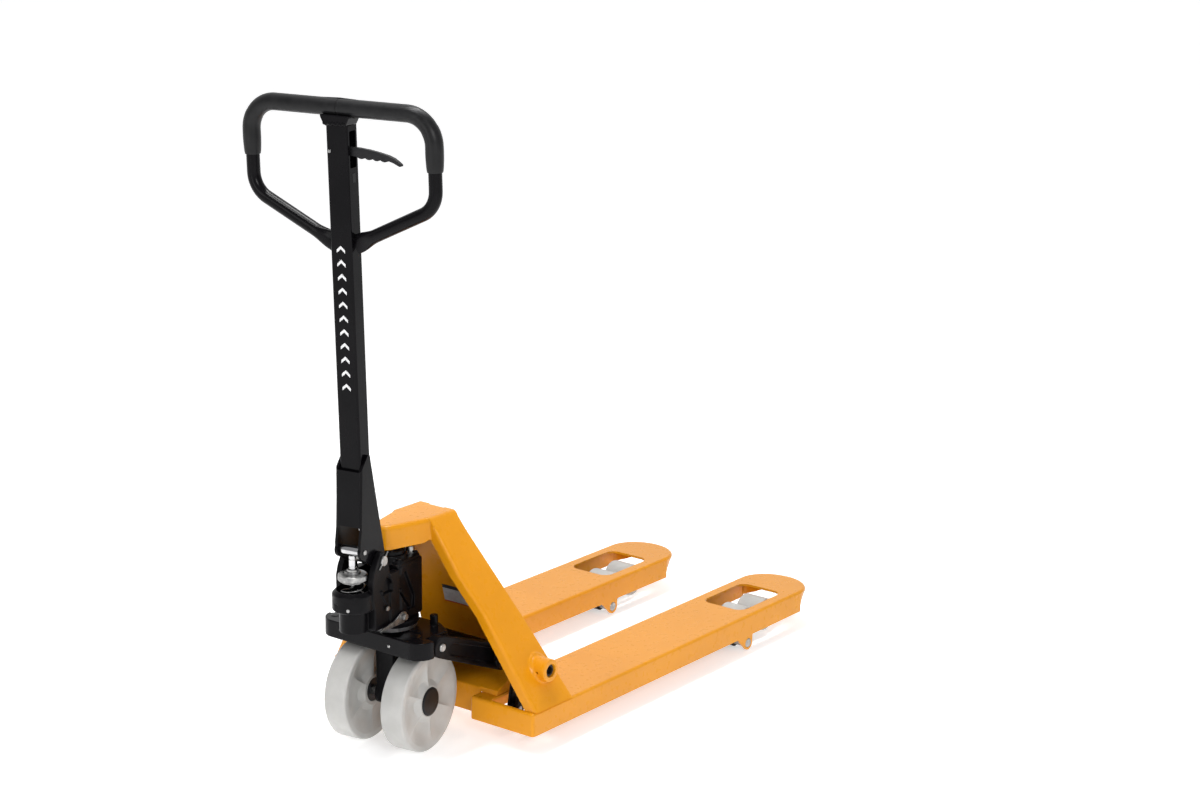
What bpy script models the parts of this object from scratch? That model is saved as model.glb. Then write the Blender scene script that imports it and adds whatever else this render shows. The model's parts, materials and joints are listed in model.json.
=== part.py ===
"""Hand pallet jack: two forks, an A-frame head, a steered pump unit and a drawbar.

Units are metres, +Z is up, the fork tips point along +X and the operator stands at -X.
Lengths are measured from the heel of the forks, on the midline, at floor level. The empty
"truck" then moves the whole object so that the world origin is under the middle of its box.
"""
import math

import bmesh
import bpy
from mathutils import Matrix, Vector

# Driving dimensions of the truck
BOX_CENTRE_X = 0.35585
FORK_LENGTH = 1.008
TIP_START = 0.936
OVERALL_WIDTH = 0.528
FORK_WIDTH = 0.160
FORK_TOP = 0.085
FLANGE_BOTTOM = 0.0377
SHEET = 0.005
GAP = 0.0003
FORK_Y = (OVERALL_WIDTH - FORK_WIDTH) / 2
WINDOW = (0.745, 0.902)
WINDOW_WIDTH = 0.106
NOSE_START = 0.9375
HEEL_OPENING = (0.035, 0.056)

# A-frame side plates: the outer face runs from FOOT to HEAD, given as (y, z)
LEG_FOOT = (0.264, 0.088)
LEG_HEAD = (0.0548, 0.4373)
LEG_SHEET = 0.006
HOOD_TOP = 0.450
HOOD_BOTTOM = 0.402
HOOD_FRONT = 0.028
HOOD_HALF_WIDTH = 0.047
NOSE_X = -0.124
NOSE_R = 0.026
PANEL_BOTTOM = 0.190
PANEL_TOP = 0.436
PANEL_MIDDLE = (PANEL_BOTTOM + PANEL_TOP) / 2
MEMBER_HALF = OVERALL_WIDTH / 2 - FORK_WIDTH - GAP
MEMBER_HEAD = (0.1035, 0.120)

# Lifting gear
SHAFT_X = 0.067
SHAFT_Z = 0.153
SHAFT_R = 0.0123
TRUNNION_Y = 0.136
TRUNNION_Z = 0.225
ROD_CRANK = 0.088
HALF_SWING = math.radians(16.425)
ARM_X = 0.735
ARM_Z = 0.0215
ARM_CRANK = 0.0413
ARM_HALF_SWING = math.radians(37)
ARM_REACH = 0.1034
ROLLER_R = 0.036
ROLLER_WIDTH = 0.058
ROLLER_SPACING = 0.074

# Steering and pump unit, about the vertical steering axis
STEER_X = -0.1145
STEER_ANGLE = math.radians(8.76)
WHEEL_R = 0.100
WHEEL_WIDTH = 0.050
WHEEL_Y = 0.065
AXLE_R = 0.010
PLUNGER_X = -0.1237
PLATE_BOTTOM = 0.210
PLATE_TOP = 0.243

# Drawbar, in the steered frame
PIVOT_X = -0.084
PIVOT_Z = 0.402
PRESS_X = -0.125
PRESS_Z = 0.4277
TUBE_WIDTH = 0.046
TUBE_DEPTH = 0.034
TUBE_WALL = 0.003
TUBE_FOOT = (-0.1062, 0.500)
TUBE_HEAD = (-0.1359, 1.2315)
LOOP_X = -0.139
LOOP_HALF_WIDTH = 0.198
LOOP_TOP = 1.262
LOOP_TUBE_R = 0.0125
GRIP_R = 0.0163
LEVER_Y = 0.016
LEVER_Z = 1.184

MODEL_NAME = "pallet_jack"


# ---------------------------------------------------------------- scene and materials

def clear_scene():
    for obj in list(bpy.data.objects):
        bpy.data.objects.remove(obj, do_unlink=True)
    for collection in list(bpy.data.collections):
        bpy.data.collections.remove(collection)


def new_collection(name):
    collection = bpy.data.collections.new(name)
    bpy.context.scene.collection.children.link(collection)
    return collection


clear_scene()
PARTS = new_collection(MODEL_NAME)
CUTTERS = new_collection("cutters")

FINISHES = {
    "yellow_paint": ((0.73, 0.30, 0.02), 0.35, 0.0),
    "black_paint": ((0.012, 0.012, 0.013), 0.28, 0.0),
    "cast_black": ((0.014, 0.014, 0.015), 0.42, 0.0),
    "rubber": ((0.02, 0.02, 0.021), 0.65, 0.0),
    "nylon": ((0.62, 0.61, 0.58), 0.45, 0.0),
    "cap_plastic": ((0.015, 0.015, 0.016), 0.35, 0.0),
    "zinc": ((0.55, 0.55, 0.54), 0.35, 1.0),
    "chrome": ((0.75, 0.75, 0.76), 0.12, 1.0),
    "steel": ((0.45, 0.45, 0.46), 0.38, 1.0),
    "bronze": ((0.45, 0.27, 0.10), 0.40, 1.0),
}


def paint(obj, finish):
    """Give the object its own Principled BSDF material."""
    colour, roughness, metallic = FINISHES[finish]
    material = bpy.data.materials.new(obj.name + "_" + finish)
    material.use_nodes = True
    shader = material.node_tree.nodes["Principled BSDF"]
    shader.inputs["Base Color"].default_value = (*colour, 1.0)
    shader.inputs["Roughness"].default_value = roughness
    shader.inputs["Metallic"].default_value = metallic
    material.diffuse_color = (*colour, 1.0)
    obj.data.materials.clear()
    obj.data.materials.append(material)


def empty(name, location, parent=None, turn=0.0):
    obj = bpy.data.objects.new(name, None)
    obj.location = location
    obj.rotation_euler = (0.0, 0.0, turn)
    obj.parent = parent
    PARTS.objects.link(obj)
    return obj


def link_mesh(name, mesh, parent):
    obj = bpy.data.objects.new(name, mesh)
    obj.parent = parent
    PARTS.objects.link(obj)
    return obj


# ---------------------------------------------------------------- basic solids

def from_bmesh(name, bm, parent):
    mesh = bpy.data.meshes.new(name)
    bm.to_mesh(mesh)
    bm.free()
    return link_mesh(name, mesh, parent)


def box(name, low, high, parent):
    """A block between two opposite corners."""
    low, high = Vector(low), Vector(high)
    bm = bmesh.new()
    bmesh.ops.create_cube(bm, size=1.0)
    size = high - low
    bmesh.ops.scale(bm, vec=size, verts=bm.verts)
    bmesh.ops.translate(bm, vec=(low + high) / 2, verts=bm.verts)
    return from_bmesh(name, bm, parent)


def rod(name, start, end, radius, parent, segments=24, end_radius=None):
    """A round bar, or a cone, between two points."""
    start, end = Vector(start), Vector(end)
    direction = end - start
    bm = bmesh.new()
    bmesh.ops.create_cone(
        bm, cap_ends=True, segments=segments, radius1=radius,
        radius2=radius if end_radius is None else end_radius, depth=direction.length)
    turn = direction.to_track_quat("Z", "Y").to_matrix().to_4x4()
    matrix = Matrix.Translation((start + end) / 2) @ turn
    bmesh.ops.transform(bm, matrix=matrix, verts=bm.verts)
    obj = from_bmesh(name, bm, parent)
    shade_round(obj)
    return obj


def shade_round(obj):
    obj.data.shade_smooth()
    obj.data.set_sharp_from_angle(angle=math.radians(35))


def baked(obj):
    """Replace a curve, or an object with modifiers, by its evaluated and welded mesh."""
    bpy.context.view_layer.update()
    graph = bpy.context.evaluated_depsgraph_get()
    mesh = bpy.data.meshes.new_from_object(obj.evaluated_get(graph))
    bm = bmesh.new()
    bm.from_mesh(mesh)
    bmesh.ops.remove_doubles(bm, verts=bm.verts, dist=0.00002)
    bm.to_mesh(mesh)
    bm.free()
    name, parent, matrix = obj.name, obj.parent, obj.matrix_world.copy()
    bpy.data.objects.remove(obj, do_unlink=True)
    result = link_mesh(name, mesh, parent)
    result.matrix_world = matrix
    return result


def arc(centre, radius, start, end, steps):
    """Points on a circle between two angles in degrees, both ends included."""
    points = []
    for i in range(steps + 1):
        angle = math.radians(start + (end - start) * i / steps)
        points.append((centre[0] + radius * math.cos(angle),
                       centre[1] + radius * math.sin(angle)))
    return points


PLAN = Matrix.Identity(4)
SIDE = Matrix(((1, 0, 0, 0), (0, 0, -1, 0), (0, 1, 0, 0), (0, 0, 0, 1)))
REAR = Matrix(((0, 0, 1, 0), (1, 0, 0, 0), (0, 1, 0, 0), (0, 0, 0, 1)))


def plate(name, outline, level, thickness, parent, plane=PLAN):
    """A flat plate: a filled 2D outline with half its thickness to each side of level.

    PLAN outlines are (x, y) with level z, SIDE ones (x, z) with level -y, and REAR ones
    (y, z) with level x.
    """
    curve = bpy.data.curves.new(name, "CURVE")
    curve.dimensions = "2D"
    curve.fill_mode = "BOTH"
    curve.extrude = thickness / 2
    spline = curve.splines.new("POLY")
    spline.points.add(len(outline) - 1)
    for point, (a, b) in zip(spline.points, outline):
        point.co = (a, b, 0.0, 1.0)
    spline.use_cyclic_u = True
    obj = bpy.data.objects.new(name, curve)
    PARTS.objects.link(obj)
    obj.parent = parent
    obj.matrix_local = plane @ Matrix.Translation((0, 0, level))
    return baked(obj)


def wall(name, outline, low, high, parent, plane=PLAN):
    """A plate given by the two levels that it lies between."""
    return plate(name, outline, (low + high) / 2, high - low, parent, plane)


def upright(name, outline, y_low, y_high, parent):
    """A plate whose outline is (x, z), between two y values."""
    return wall(name, outline, -y_high, -y_low, parent, SIDE)


def turned(name, profile, start, axis, parent, segments=32, closed=True):
    """Screw a profile of (radius, height) about an axis from start.

    The profile runs down its outer side, top to bottom. A closed one is a ring section.
    """
    bm = bmesh.new()
    verts = [bm.verts.new((r, 0.0, h)) for r, h in profile]
    count = len(verts) if closed else len(verts) - 1
    for i in range(count):
        bm.edges.new((verts[i], verts[(i + 1) % len(verts)]))
    obj = from_bmesh(name, bm, parent)
    screw = obj.modifiers.new("turn", "SCREW")
    screw.steps = segments
    screw.render_steps = segments
    screw.use_merge_vertices = True
    screw.merge_threshold = 0.00002
    turn = Vector(axis).to_track_quat("Z", "Y").to_matrix().to_4x4()
    obj.matrix_local = Matrix.Translation(start) @ turn
    obj = baked(obj)
    shade_round(obj)
    return obj


def tube_along(name, points, radius, parent, sides=2, caps=True):
    """A round tube along a smooth list of points."""
    curve = bpy.data.curves.new(name, "CURVE")
    curve.dimensions = "3D"
    curve.bevel_depth = radius
    curve.bevel_resolution = sides
    curve.use_fill_caps = caps
    spline = curve.splines.new("POLY")
    spline.points.add(len(points) - 1)
    for point, co in zip(spline.points, points):
        point.co = (*co, 1.0)
    obj = bpy.data.objects.new(name, curve)
    PARTS.objects.link(obj)
    obj.parent = parent
    obj = baked(obj)
    shade_round(obj)
    return obj


# ---------------------------------------------------------------- cutting and joining

def tool(target, cutter, operation, solver="EXACT"):
    modifier = target.modifiers.new(operation.lower(), "BOOLEAN")
    modifier.operation = operation
    modifier.solver = solver
    modifier.object = cutter
    for collection in list(cutter.users_collection):
        collection.objects.unlink(cutter)
    CUTTERS.objects.link(cutter)
    cutter.hide_render = True
    cutter.display_type = "WIRE"


def cut(target, *cutters, solver="EXACT"):
    for cutter in cutters:
        tool(target, cutter, "DIFFERENCE", solver)
    return target


def fuse(target, *pieces, solver="EXACT"):
    for piece in pieces:
        tool(target, piece, "UNION", solver)
    return target


def soften(obj, width, segments=2, angle=40):
    bevel = obj.modifiers.new("edges", "BEVEL")
    bevel.width = width
    bevel.segments = segments
    bevel.limit_method = "ANGLE"
    bevel.angle_limit = math.radians(angle)
    return obj


def origin_at(obj, point):
    """Move the object's origin to a point of its parent's frame, leaving the shape there."""
    shift = Vector(point) - obj.location
    turn = obj.matrix_local.to_3x3().inverted()
    obj.data.transform(Matrix.Translation(-(turn @ shift)))
    obj.location = Vector(point)
    return obj


# ---------------------------------------------------------------- frame

def fork_outline(inset, heel):
    """Plan outline of one fork about its own centre line, with a half-elliptic tip."""
    half = FORK_WIDTH / 2 - inset
    nose = FORK_LENGTH - TIP_START - inset
    points = [(heel, -half), (TIP_START, -half)]
    steps = 12
    for i in range(1, steps):
        angle = math.pi * (i / steps - 0.5)
        points.append((TIP_START + nose * math.cos(angle), half * math.sin(angle)))
    return points + [(TIP_START, half), (heel, half)]


def rounded(low, high, radius, steps=4):
    """Rectangle between two corners, with round corners."""
    (x0, y0), (x1, y1) = low, high
    return (arc((x1 - radius, y1 - radius), radius, 0, 90, steps)
            + arc((x0 + radius, y1 - radius), radius, 90, 180, steps)
            + arc((x0 + radius, y0 + radius), radius, 180, 270, steps)
            + arc((x1 - radius, y0 + radius), radius, 270, 360, steps))


def shifted(outline, dy):
    return [(x, y + dy) for x, y in outline]


def build_fork(side, truck):
    name = "fork_left" if side > 0 else "fork_right"
    y = side * FORK_Y
    body = wall(name, shifted(fork_outline(0.0, 0.0), y), FLANGE_BOTTOM - 0.01, FORK_TOP, truck)
    soften(body, 0.005, 2, 60)
    body = baked(body)
    hollow = wall(name + "_hollow", shifted(fork_outline(SHEET, SHEET), y),
                  FLANGE_BOTTOM - 0.02, FORK_TOP - SHEET, truck)
    below = box(name + "_trim", (-0.1, -0.4, 0.0), (FORK_LENGTH + 0.1, 0.4, FLANGE_BOTTOM), truck)
    cut(body, hollow, below, solver="MANIFOLD")
    half_window = WINDOW_WIDTH / 2
    window = rounded((WINDOW[0], y - half_window), (WINDOW[1], y + half_window), 0.022, 3)
    cut(body, wall(name + "_window", window, FORK_TOP - 0.02, FORK_TOP + 0.01, truck),
        solver="MANIFOLD")
    edges = sorted((y - side * HEEL_OPENING[0], y + side * HEEL_OPENING[1]))
    opening = rounded((0.008, edges[0]), (0.108, edges[1]), 0.008, 2)
    cut(body, wall(name + "_heel", opening, FORK_TOP - 0.02, FORK_TOP + 0.01, truck),
        solver="MANIFOLD")
    rise = [(NOSE_START, 0.0), (NOSE_START, 0.0445), (1.03, 0.0645), (1.03, 0.0)]
    cut(body, upright(name + "_nose", rise, y - 0.1, y + 0.1, truck), solver="MANIFOLD")
    body = baked(body)
    lug = [(ARM_X - 0.045, FLANGE_BOTTOM + 0.008), (ARM_X - 0.035, FLANGE_BOTTOM)]
    lug += arc((ARM_X, ARM_Z), 0.0155, 215, 360, 6)
    lug += [(ARM_X + 0.0155, FLANGE_BOTTOM + 0.008)]
    half = FORK_WIDTH / 2
    for edge in (-1, 1):
        inner = y + edge * (half - SHEET - 0.001)
        outer = y + edge * (half - 0.0005)
        piece = upright(name + "_lug", lug, min(inner, outer), max(inner, outer), truck)
        fuse(body, piece, solver="MANIFOLD")
    bore = rod(name + "_bore", (ARM_X, y - half - 0.01, ARM_Z),
               (ARM_X, y + half + 0.01, ARM_Z), 0.0103, truck, 20)
    cut(body, bore, solver="MANIFOLD")
    paint(body, "yellow_paint")
    return body


def leg_frame(side):
    """Matrix of a leg plate: local x along the truck, local y up the slope, z outward."""
    foot = Vector((0.0, side * LEG_FOOT[0], LEG_FOOT[1]))
    head = Vector((0.0, side * LEG_HEAD[0], LEG_HEAD[1]))
    up = (head - foot).normalized()
    along = Vector((1.0, 0.0, 0.0))
    out = along.cross(up)
    rows = (along, up, out)
    turn = Matrix([[rows[c][r] for c in range(3)] for r in range(3)]).to_4x4()
    return Matrix.Translation(foot) @ turn, (head - foot).length


def build_leg(side, truck):
    name = "leg_left" if side > 0 else "leg_right"
    matrix, length = leg_frame(side)
    inward = side
    top = length - 0.001
    outline = [(0.120, 0.0), (0.081, 0.183), (0.0245, top), (-0.050, top),
               (-0.038, 0.304), (-0.016, 0.2145), (0.008, 0.0)]
    level = inward * LEG_SHEET / 2
    leg = plate(name, outline, 0.0, LEG_SHEET, truck, matrix @ Matrix.Translation((0, 0, level)))
    fold = [(-0.0445, 0.360), (-0.038, 0.304), (-0.016, 0.2145), (0.008, 0.0)]
    lip = [(x + 0.005, t) for x, t in reversed(fold)]
    rim = plate(name + "_rim", fold + lip, 0.0, 0.024, truck,
                matrix @ Matrix.Translation((0, 0, inward * 0.012)))
    fuse(leg, rim)
    boss = rod(name + "_boss", (SHAFT_X, side * 0.2165, SHAFT_Z),
               (SHAFT_X, side * 0.254, SHAFT_Z), 0.0225, truck, 28)
    fuse(leg, boss)
    bore = rod(name + "_bore", (SHAFT_X, side * 0.19, SHAFT_Z),
               (SHAFT_X, side * 0.27, SHAFT_Z), SHAFT_R + 0.0004, truck, 24)
    cut(leg, bore)
    floor = box(name + "_floor", (-0.1, -0.4, 0.0), (0.2, 0.4, FORK_TOP + GAP), truck)
    cut(leg, floor)
    paint(leg, "yellow_paint")
    return leg


def hood_outline(inset):
    half = HOOD_HALF_WIDTH - inset
    front = HOOD_FRONT - inset
    nose = NOSE_R - inset
    right = arc((NOSE_X, 0.0), nose, 115, 245, 10)
    left_side = [(front, half), (-0.050, half)]
    right_side = [(-0.050, -half), (front, -half)]
    return left_side + right + right_side


def build_hood(truck):
    low = HOOD_BOTTOM - 0.02
    hood = wall("hood", hood_outline(0.0), low, HOOD_TOP, truck)
    soften(hood, 0.008, 3, 50)
    hood = baked(hood)
    inside = wall("hood_inside", hood_outline(0.005), low - 0.01, HOOD_TOP - 0.006, truck)
    cut(hood, inside, solver="MANIFOLD")
    for start, level in ((-0.2, HOOD_BOTTOM), (-0.046, 0.4235)):
        trim = box("hood_trim", (start, -0.1, low - 0.03), (0.1, 0.1, level), truck)
        cut(hood, trim, solver="MANIFOLD")
    paint(hood, "yellow_paint")


def curved_wall(name, low, high, truck):
    """Sheet bulging towards the forks and leaning with the legs."""
    rise, half = 0.050, 0.215
    radius = (half ** 2 + rise ** 2) / (2 * rise)
    centre = (0.0675 - radius, 0.0)
    lean = -0.27
    spread = math.degrees(math.asin(half / radius))
    outer = arc(centre, radius, -spread, spread, 16)
    inner = arc(centre, radius - 0.003, spread, -spread, 16)
    panel = wall(name, outer + inner, low, high, truck)
    panel.data.transform(Matrix.Shear("XY", 4, (lean, 0.0)))
    shift = lean * ((low + high) / 2 - PANEL_MIDDLE)
    panel.data.transform(Matrix.Translation((shift, 0.0, 0.0)))
    return panel


def build_back_panel(truck):
    """Apron between the legs, with a narrower foot that reaches down to the cross member."""
    panel = curved_wall("back_panel", PANEL_BOTTOM, PANEL_TOP, truck)
    for side in (-1, 1):
        matrix, length = leg_frame(side)
        keep = [(-0.3, -0.1), (0.3, -0.1), (0.3, length + 0.1), (-0.3, length + 0.1)]
        depth = 0.30
        level = side * (LEG_SHEET + 0.0005) - side * depth / 2
        slab = plate("panel_trim", keep, 0.0, depth, truck,
                     matrix @ Matrix.Translation((0, 0, level)))
        cut(panel, slab)
    paint(panel, "yellow_paint")
    foot = curved_wall("panel_foot", MEMBER_HEAD[1] - 0.004, PANEL_BOTTOM - GAP, truck)
    for side in (-1, 1):
        near, far = sorted((side * MEMBER_HALF, side * 0.30))
        trim = box("foot_trim", (-0.1, near, 0.05), (0.3, far, 0.25), truck)
        cut(foot, trim)
    paint(foot, "yellow_paint")


def build_frame(truck):
    for side in (-1, 1):
        build_fork(side, truck)
        build_leg(side, truck)
        pin_name = "arm_pin_left" if side > 0 else "arm_pin_right"
        y = side * FORK_Y
        half = FORK_WIDTH / 2
        pin = rod(pin_name, (ARM_X, y - half, ARM_Z), (ARM_X, y + half, ARM_Z), AXLE_R, truck, 20)
        paint(pin, "zinc")
    build_hood(truck)
    build_back_panel(truck)
    web = [(0.030, FLANGE_BOTTOM), (0.060, FLANGE_BOTTOM), (0.060, FLANGE_BOTTOM + 0.005),
           (0.035, FLANGE_BOTTOM + 0.005), (0.035, 0.0905), MEMBER_HEAD,
           (MEMBER_HEAD[0], MEMBER_HEAD[1] + 0.005), (0.030, 0.094)]
    member = upright("cross_member", web, -MEMBER_HALF, MEMBER_HALF, truck)
    wedge = [(0.030, FORK_TOP + GAP), (MEMBER_HEAD[0], FORK_TOP + GAP),
             (MEMBER_HEAD[0], MEMBER_HEAD[1] + 0.005), (0.030, 0.094)]
    for side in (-1, 1):
        near, far = sorted((side * (MEMBER_HALF - 0.004), side * 0.1475))
        fuse(member, upright("member_end", wedge, near, far, truck))
    paint(member, "yellow_paint")
    shaft = rod("cross_shaft", (SHAFT_X, -0.2525, SHAFT_Z), (SHAFT_X, 0.2525, SHAFT_Z), SHAFT_R, truck)
    paint(shaft, "steel")


# ---------------------------------------------------------------- lifting gear

def strap(a, b, radius_a, radius_b, steps=8):
    """Outline of a link: two round eyes joined by straight flanks."""
    a, b = Vector(a), Vector(b)
    heading = math.degrees(math.atan2(b.y - a.y, b.x - a.x))
    return (arc(b, radius_b, heading - 90, heading + 90, steps)
            + arc(a, radius_a, heading + 90, heading + 270, steps))


SHAFT = (SHAFT_X, SHAFT_Z)
TRUNNION = (STEER_X, TRUNNION_Z)
ROD_REAR = (SHAFT_X - ROD_CRANK * math.sin(HALF_SWING), SHAFT_Z - ROD_CRANK * math.cos(HALF_SWING))
TRAVEL = 2 * ROD_CRANK * math.sin(HALF_SWING)
ARM_PIVOT = (ARM_X, ARM_Z)
ROD_FRONT = (ARM_X - ARM_CRANK * math.sin(ARM_HALF_SWING),
             ARM_Z + ARM_CRANK * math.cos(ARM_HALF_SWING))
BOGIE = (ARM_X + ARM_REACH, ROLLER_R)


def side_name(stem, side):
    return stem + ("_left" if side > 0 else "_right")


def build_rocker(truck):
    rocker = rod("rocker", (SHAFT_X, -0.198, SHAFT_Z), (SHAFT_X, 0.198, SHAFT_Z), 0.024, truck, 20)
    outline = strap(SHAFT, TRUNNION, 0.0265, 0.0215, 7)
    web = [(-0.055, 0.176), (0.050, 0.134), (0.058, 0.152), (-0.048, 0.1945)]
    for side in (-1, 1):
        arm = upright("rocker_arm", outline, min(side * 0.110, side * 0.1345),
                      max(side * 0.110, side * 0.1345), truck)
        fuse(rocker, arm)
        for offset in (-0.0095, 0.0095):
            y = side * FORK_Y + offset
            lug = upright("rocker_lug", strap(SHAFT, ROD_REAR, 0.018, 0.0115, 4), y - 0.003,
                          y + 0.003, truck)
            fuse(rocker, lug)
    tie = upright("rocker_tie", web, -0.112, 0.112, truck)
    sweep = rod("rocker_tie_cut", (STEER_X, 0, 0.10), (STEER_X, 0, 0.25), 0.127, truck, 32)
    cut(tie, sweep)
    tie = baked(tie)
    fuse(rocker, tie)
    cut(rocker, rod("rocker_bore", (SHAFT_X, -0.21, SHAFT_Z), (SHAFT_X, 0.21, SHAFT_Z), 0.0153, truck,
                    16))
    for side in (-1, 1):
        cut(rocker, rod("rocker_eye", (STEER_X, side * 0.10, TRUNNION_Z),
                        (STEER_X, side * 0.15, TRUNNION_Z), 0.0083, truck, 16))
        cut(rocker, rod("rocker_rod_eye", (ROD_REAR[0], side * 0.165, ROD_REAR[1]),
                        (ROD_REAR[0], side * 0.205, ROD_REAR[1]), 0.0053, truck, 12))
    rocker = baked(rocker)
    origin_at(rocker, (SHAFT_X, 0.0, SHAFT_Z))
    paint(rocker, "cast_black")
    for side in (-1, 1):
        ring = [(0.0150, 0.030), (0.0150, 0.0), (SHAFT_R + 0.0003, 0.0), (SHAFT_R + 0.0003, 0.030)]
        bush = turned(side_name("shaft_bush", side), ring, (SHAFT_X, side * 0.198, SHAFT_Z),
                      (0, -side, 0), truck, 16)
        paint(bush, "bronze")
        y = side * FORK_Y
        pin = rod(side_name("rod_pin", side), (ROD_REAR[0], y - 0.0135, ROD_REAR[1]),
                  (ROD_REAR[0], y + 0.0135, ROD_REAR[1]), 0.005, truck, 12)
        paint(pin, "zinc")


def build_push_rod(side, truck):
    y = side * FORK_Y
    name = side_name("push_rod", side)
    bar = upright(name, strap(ROD_REAR, ROD_FRONT, 0.0105, 0.0100, 5), y - 0.005, y + 0.005, truck)
    head = [(ROD_FRONT[0] - 0.024, ROD_FRONT[1] - 0.010), (ROD_FRONT[0] + 0.011, ROD_FRONT[1] - 0.010),
            (ROD_FRONT[0] + 0.011, FORK_TOP - SHEET - 0.003),
            (ROD_FRONT[0] - 0.024, FORK_TOP - SHEET - 0.003)]
    fuse(bar, upright(name + "_head", head, y - 0.005, y + 0.005, truck))
    cut(bar, rod(name + "_eye", (ROD_REAR[0], y - 0.02, ROD_REAR[1]),
                 (ROD_REAR[0], y + 0.02, ROD_REAR[1]), 0.0053, truck, 12))
    slot = strap(ROD_FRONT, (ROD_FRONT[0], ROD_FRONT[1] + 0.0125), 0.0063, 0.0063, 5)
    cut(bar, upright(name + "_slot", slot, y - 0.02, y + 0.02, truck))
    bar = baked(bar)
    origin_at(bar, (ROD_REAR[0], y, ROD_REAR[1]))
    paint(bar, "black_paint")


def build_load_arm(side, truck):
    y = side * FORK_Y
    name = side_name("load_arm", side)
    arm = rod(name, (ARM_X, y - 0.046, ARM_Z), (ARM_X, y + 0.046, ARM_Z), 0.0152, truck, 20)
    outline = strap(ARM_PIVOT, BOGIE, 0.0148, 0.0125, 5)
    crank = strap(ARM_PIVOT, ROD_FRONT, 0.0130, 0.0095, 4)
    for edge in (-1, 1):
        inner, outer = y + edge * 0.040, y + edge * 0.046
        fuse(arm, upright(name + "_cheek", outline, min(inner, outer), max(inner, outer), truck))
        inner, outer = y + edge * 0.0062, y + edge * 0.0122
        fuse(arm, upright(name + "_crank", crank, min(inner, outer), max(inner, outer), truck))
        stub = rod(name + "_stub", (BOGIE[0], y + edge * 0.0345, BOGIE[1]),
                   (BOGIE[0], y + edge * 0.044, BOGIE[1]), 0.0070, truck, 12)
        fuse(arm, stub)
    pin = rod(name + "_crank_pin", (ROD_FRONT[0], y - 0.010, ROD_FRONT[1]),
              (ROD_FRONT[0], y + 0.010, ROD_FRONT[1]), 0.005, truck, 12)
    fuse(arm, pin)
    cut(arm, rod(name + "_bore", (ARM_X, y - 0.06, ARM_Z), (ARM_X, y + 0.06, ARM_Z), 0.0103, truck,
                 16))
    arm = baked(arm)
    origin_at(arm, (ARM_X, y, ARM_Z))
    paint(arm, "black_paint")


def build_bogie(side, truck):
    """Two side plates tied by the two roller axles."""
    y = side * FORK_Y
    name = side_name("bogie", side)
    reach = ROLLER_SPACING / 2
    ends = [(BOGIE[0] - reach, BOGIE[1]), (BOGIE[0] + reach, BOGIE[1])]
    link = strap(*ends, 0.011, 0.011, 4)
    bogie = upright(name, link, y - 0.0385, y - 0.0335, truck)
    fuse(bogie, upright(name + "_far", link, y + 0.0335, y + 0.0385, truck))
    for x, z in ends:
        fuse(bogie, rod(name + "_axle", (x, y - 0.036, z), (x, y + 0.036, z), 0.006, truck, 12))
    cut(bogie, rod(name + "_bore", (BOGIE[0], y - 0.05, BOGIE[1]),
                   (BOGIE[0], y + 0.05, BOGIE[1]), 0.0073, truck, 12))
    bogie = baked(bogie)
    origin_at(bogie, (BOGIE[0], y, BOGIE[1]))
    paint(bogie, "zinc")
    half = ROLLER_WIDTH / 2
    ring = [(ROLLER_R - 0.002, half), (ROLLER_R, half - 0.003), (ROLLER_R, 0.003 - half),
            (ROLLER_R - 0.002, -half), (0.0064, -half), (0.0064, half)]
    for place, (x, z) in zip(("rear", "front"), ends):
        roller = turned(side_name("load_roller_" + place, side), ring, (x, y, z), (0, 1, 0), truck, 22)
        paint(roller, "nylon")


def build_lifting_gear(truck):
    build_rocker(truck)
    for side in (-1, 1):
        build_push_rod(side, truck)
        build_load_arm(side, truck)
        build_bogie(side, truck)


# ---------------------------------------------------------------- bearing plate

def mirrored(half):
    """Close an outline given for y >= 0, from front to rear, by its mirror image."""
    return half + [(x, -y) for x, y in reversed(half)]


def build_bearing_plate(truck):
    corner = arc((-0.1430, 0.1010), 0.0330, 90, 180, 6)
    half = [(-0.048, 0.070), (-0.070, 0.1085), (-0.1395, 0.1085), (-0.1395, 0.1340)] + corner
    plate_body = wall("bearing_plate", mirrored(half), PLATE_BOTTOM, PLATE_TOP, truck)
    stub = rod("bearing_plate_stub", (-0.066, -0.070, PLATE_TOP - 0.01),
               (-0.066, -0.070, PLATE_TOP + 0.022), 0.008, truck, 16)
    fuse(plate_body, stub)
    cut(plate_body, rod("bearing_plate_bore", (STEER_X, 0, 0.2), (STEER_X, 0, 0.26), 0.0323, truck, 24))
    for side in (-1, 1):
        cut(plate_body, rod("bearing_plate_eye", (STEER_X, side * 0.085, TRUNNION_Z),
                            (STEER_X, side * 0.12, TRUNNION_Z), 0.0083, truck, 16))
        pin = rod(side_name("trunnion_pin", side), (STEER_X, side * 0.0855, TRUNNION_Z),
                  (STEER_X, side * TRUNNION_Y, TRUNNION_Z), 0.008, truck, 16)
        paint(pin, "zinc")
    plate_body = baked(plate_body)
    origin_at(plate_body, (STEER_X, 0.0, TRUNNION_Z))
    paint(plate_body, "black_paint")
    ring = [(0.052, 0.0082), (0.052, 0.0), (0.0345, 0.0), (0.0345, 0.0082)]
    bearing = turned("thrust_bearing", ring, (STEER_X, 0.0, PLATE_TOP + GAP), (0, 0, 1), truck, 24)
    paint(bearing, "steel")


# ---------------------------------------------------------------- pump unit

BODY_BOTTOM = PLATE_TOP + 2 * GAP + 0.0082
CYLINDER_TOP = 0.398
NECK_BOTTOM = 0.268
CUP_BOTTOM = 0.311
CUP_TOP = 0.350
SPRING_SEAT = 0.2725
CAP_BOTTOM = 0.369
CAP_TOP = 0.382


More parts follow.
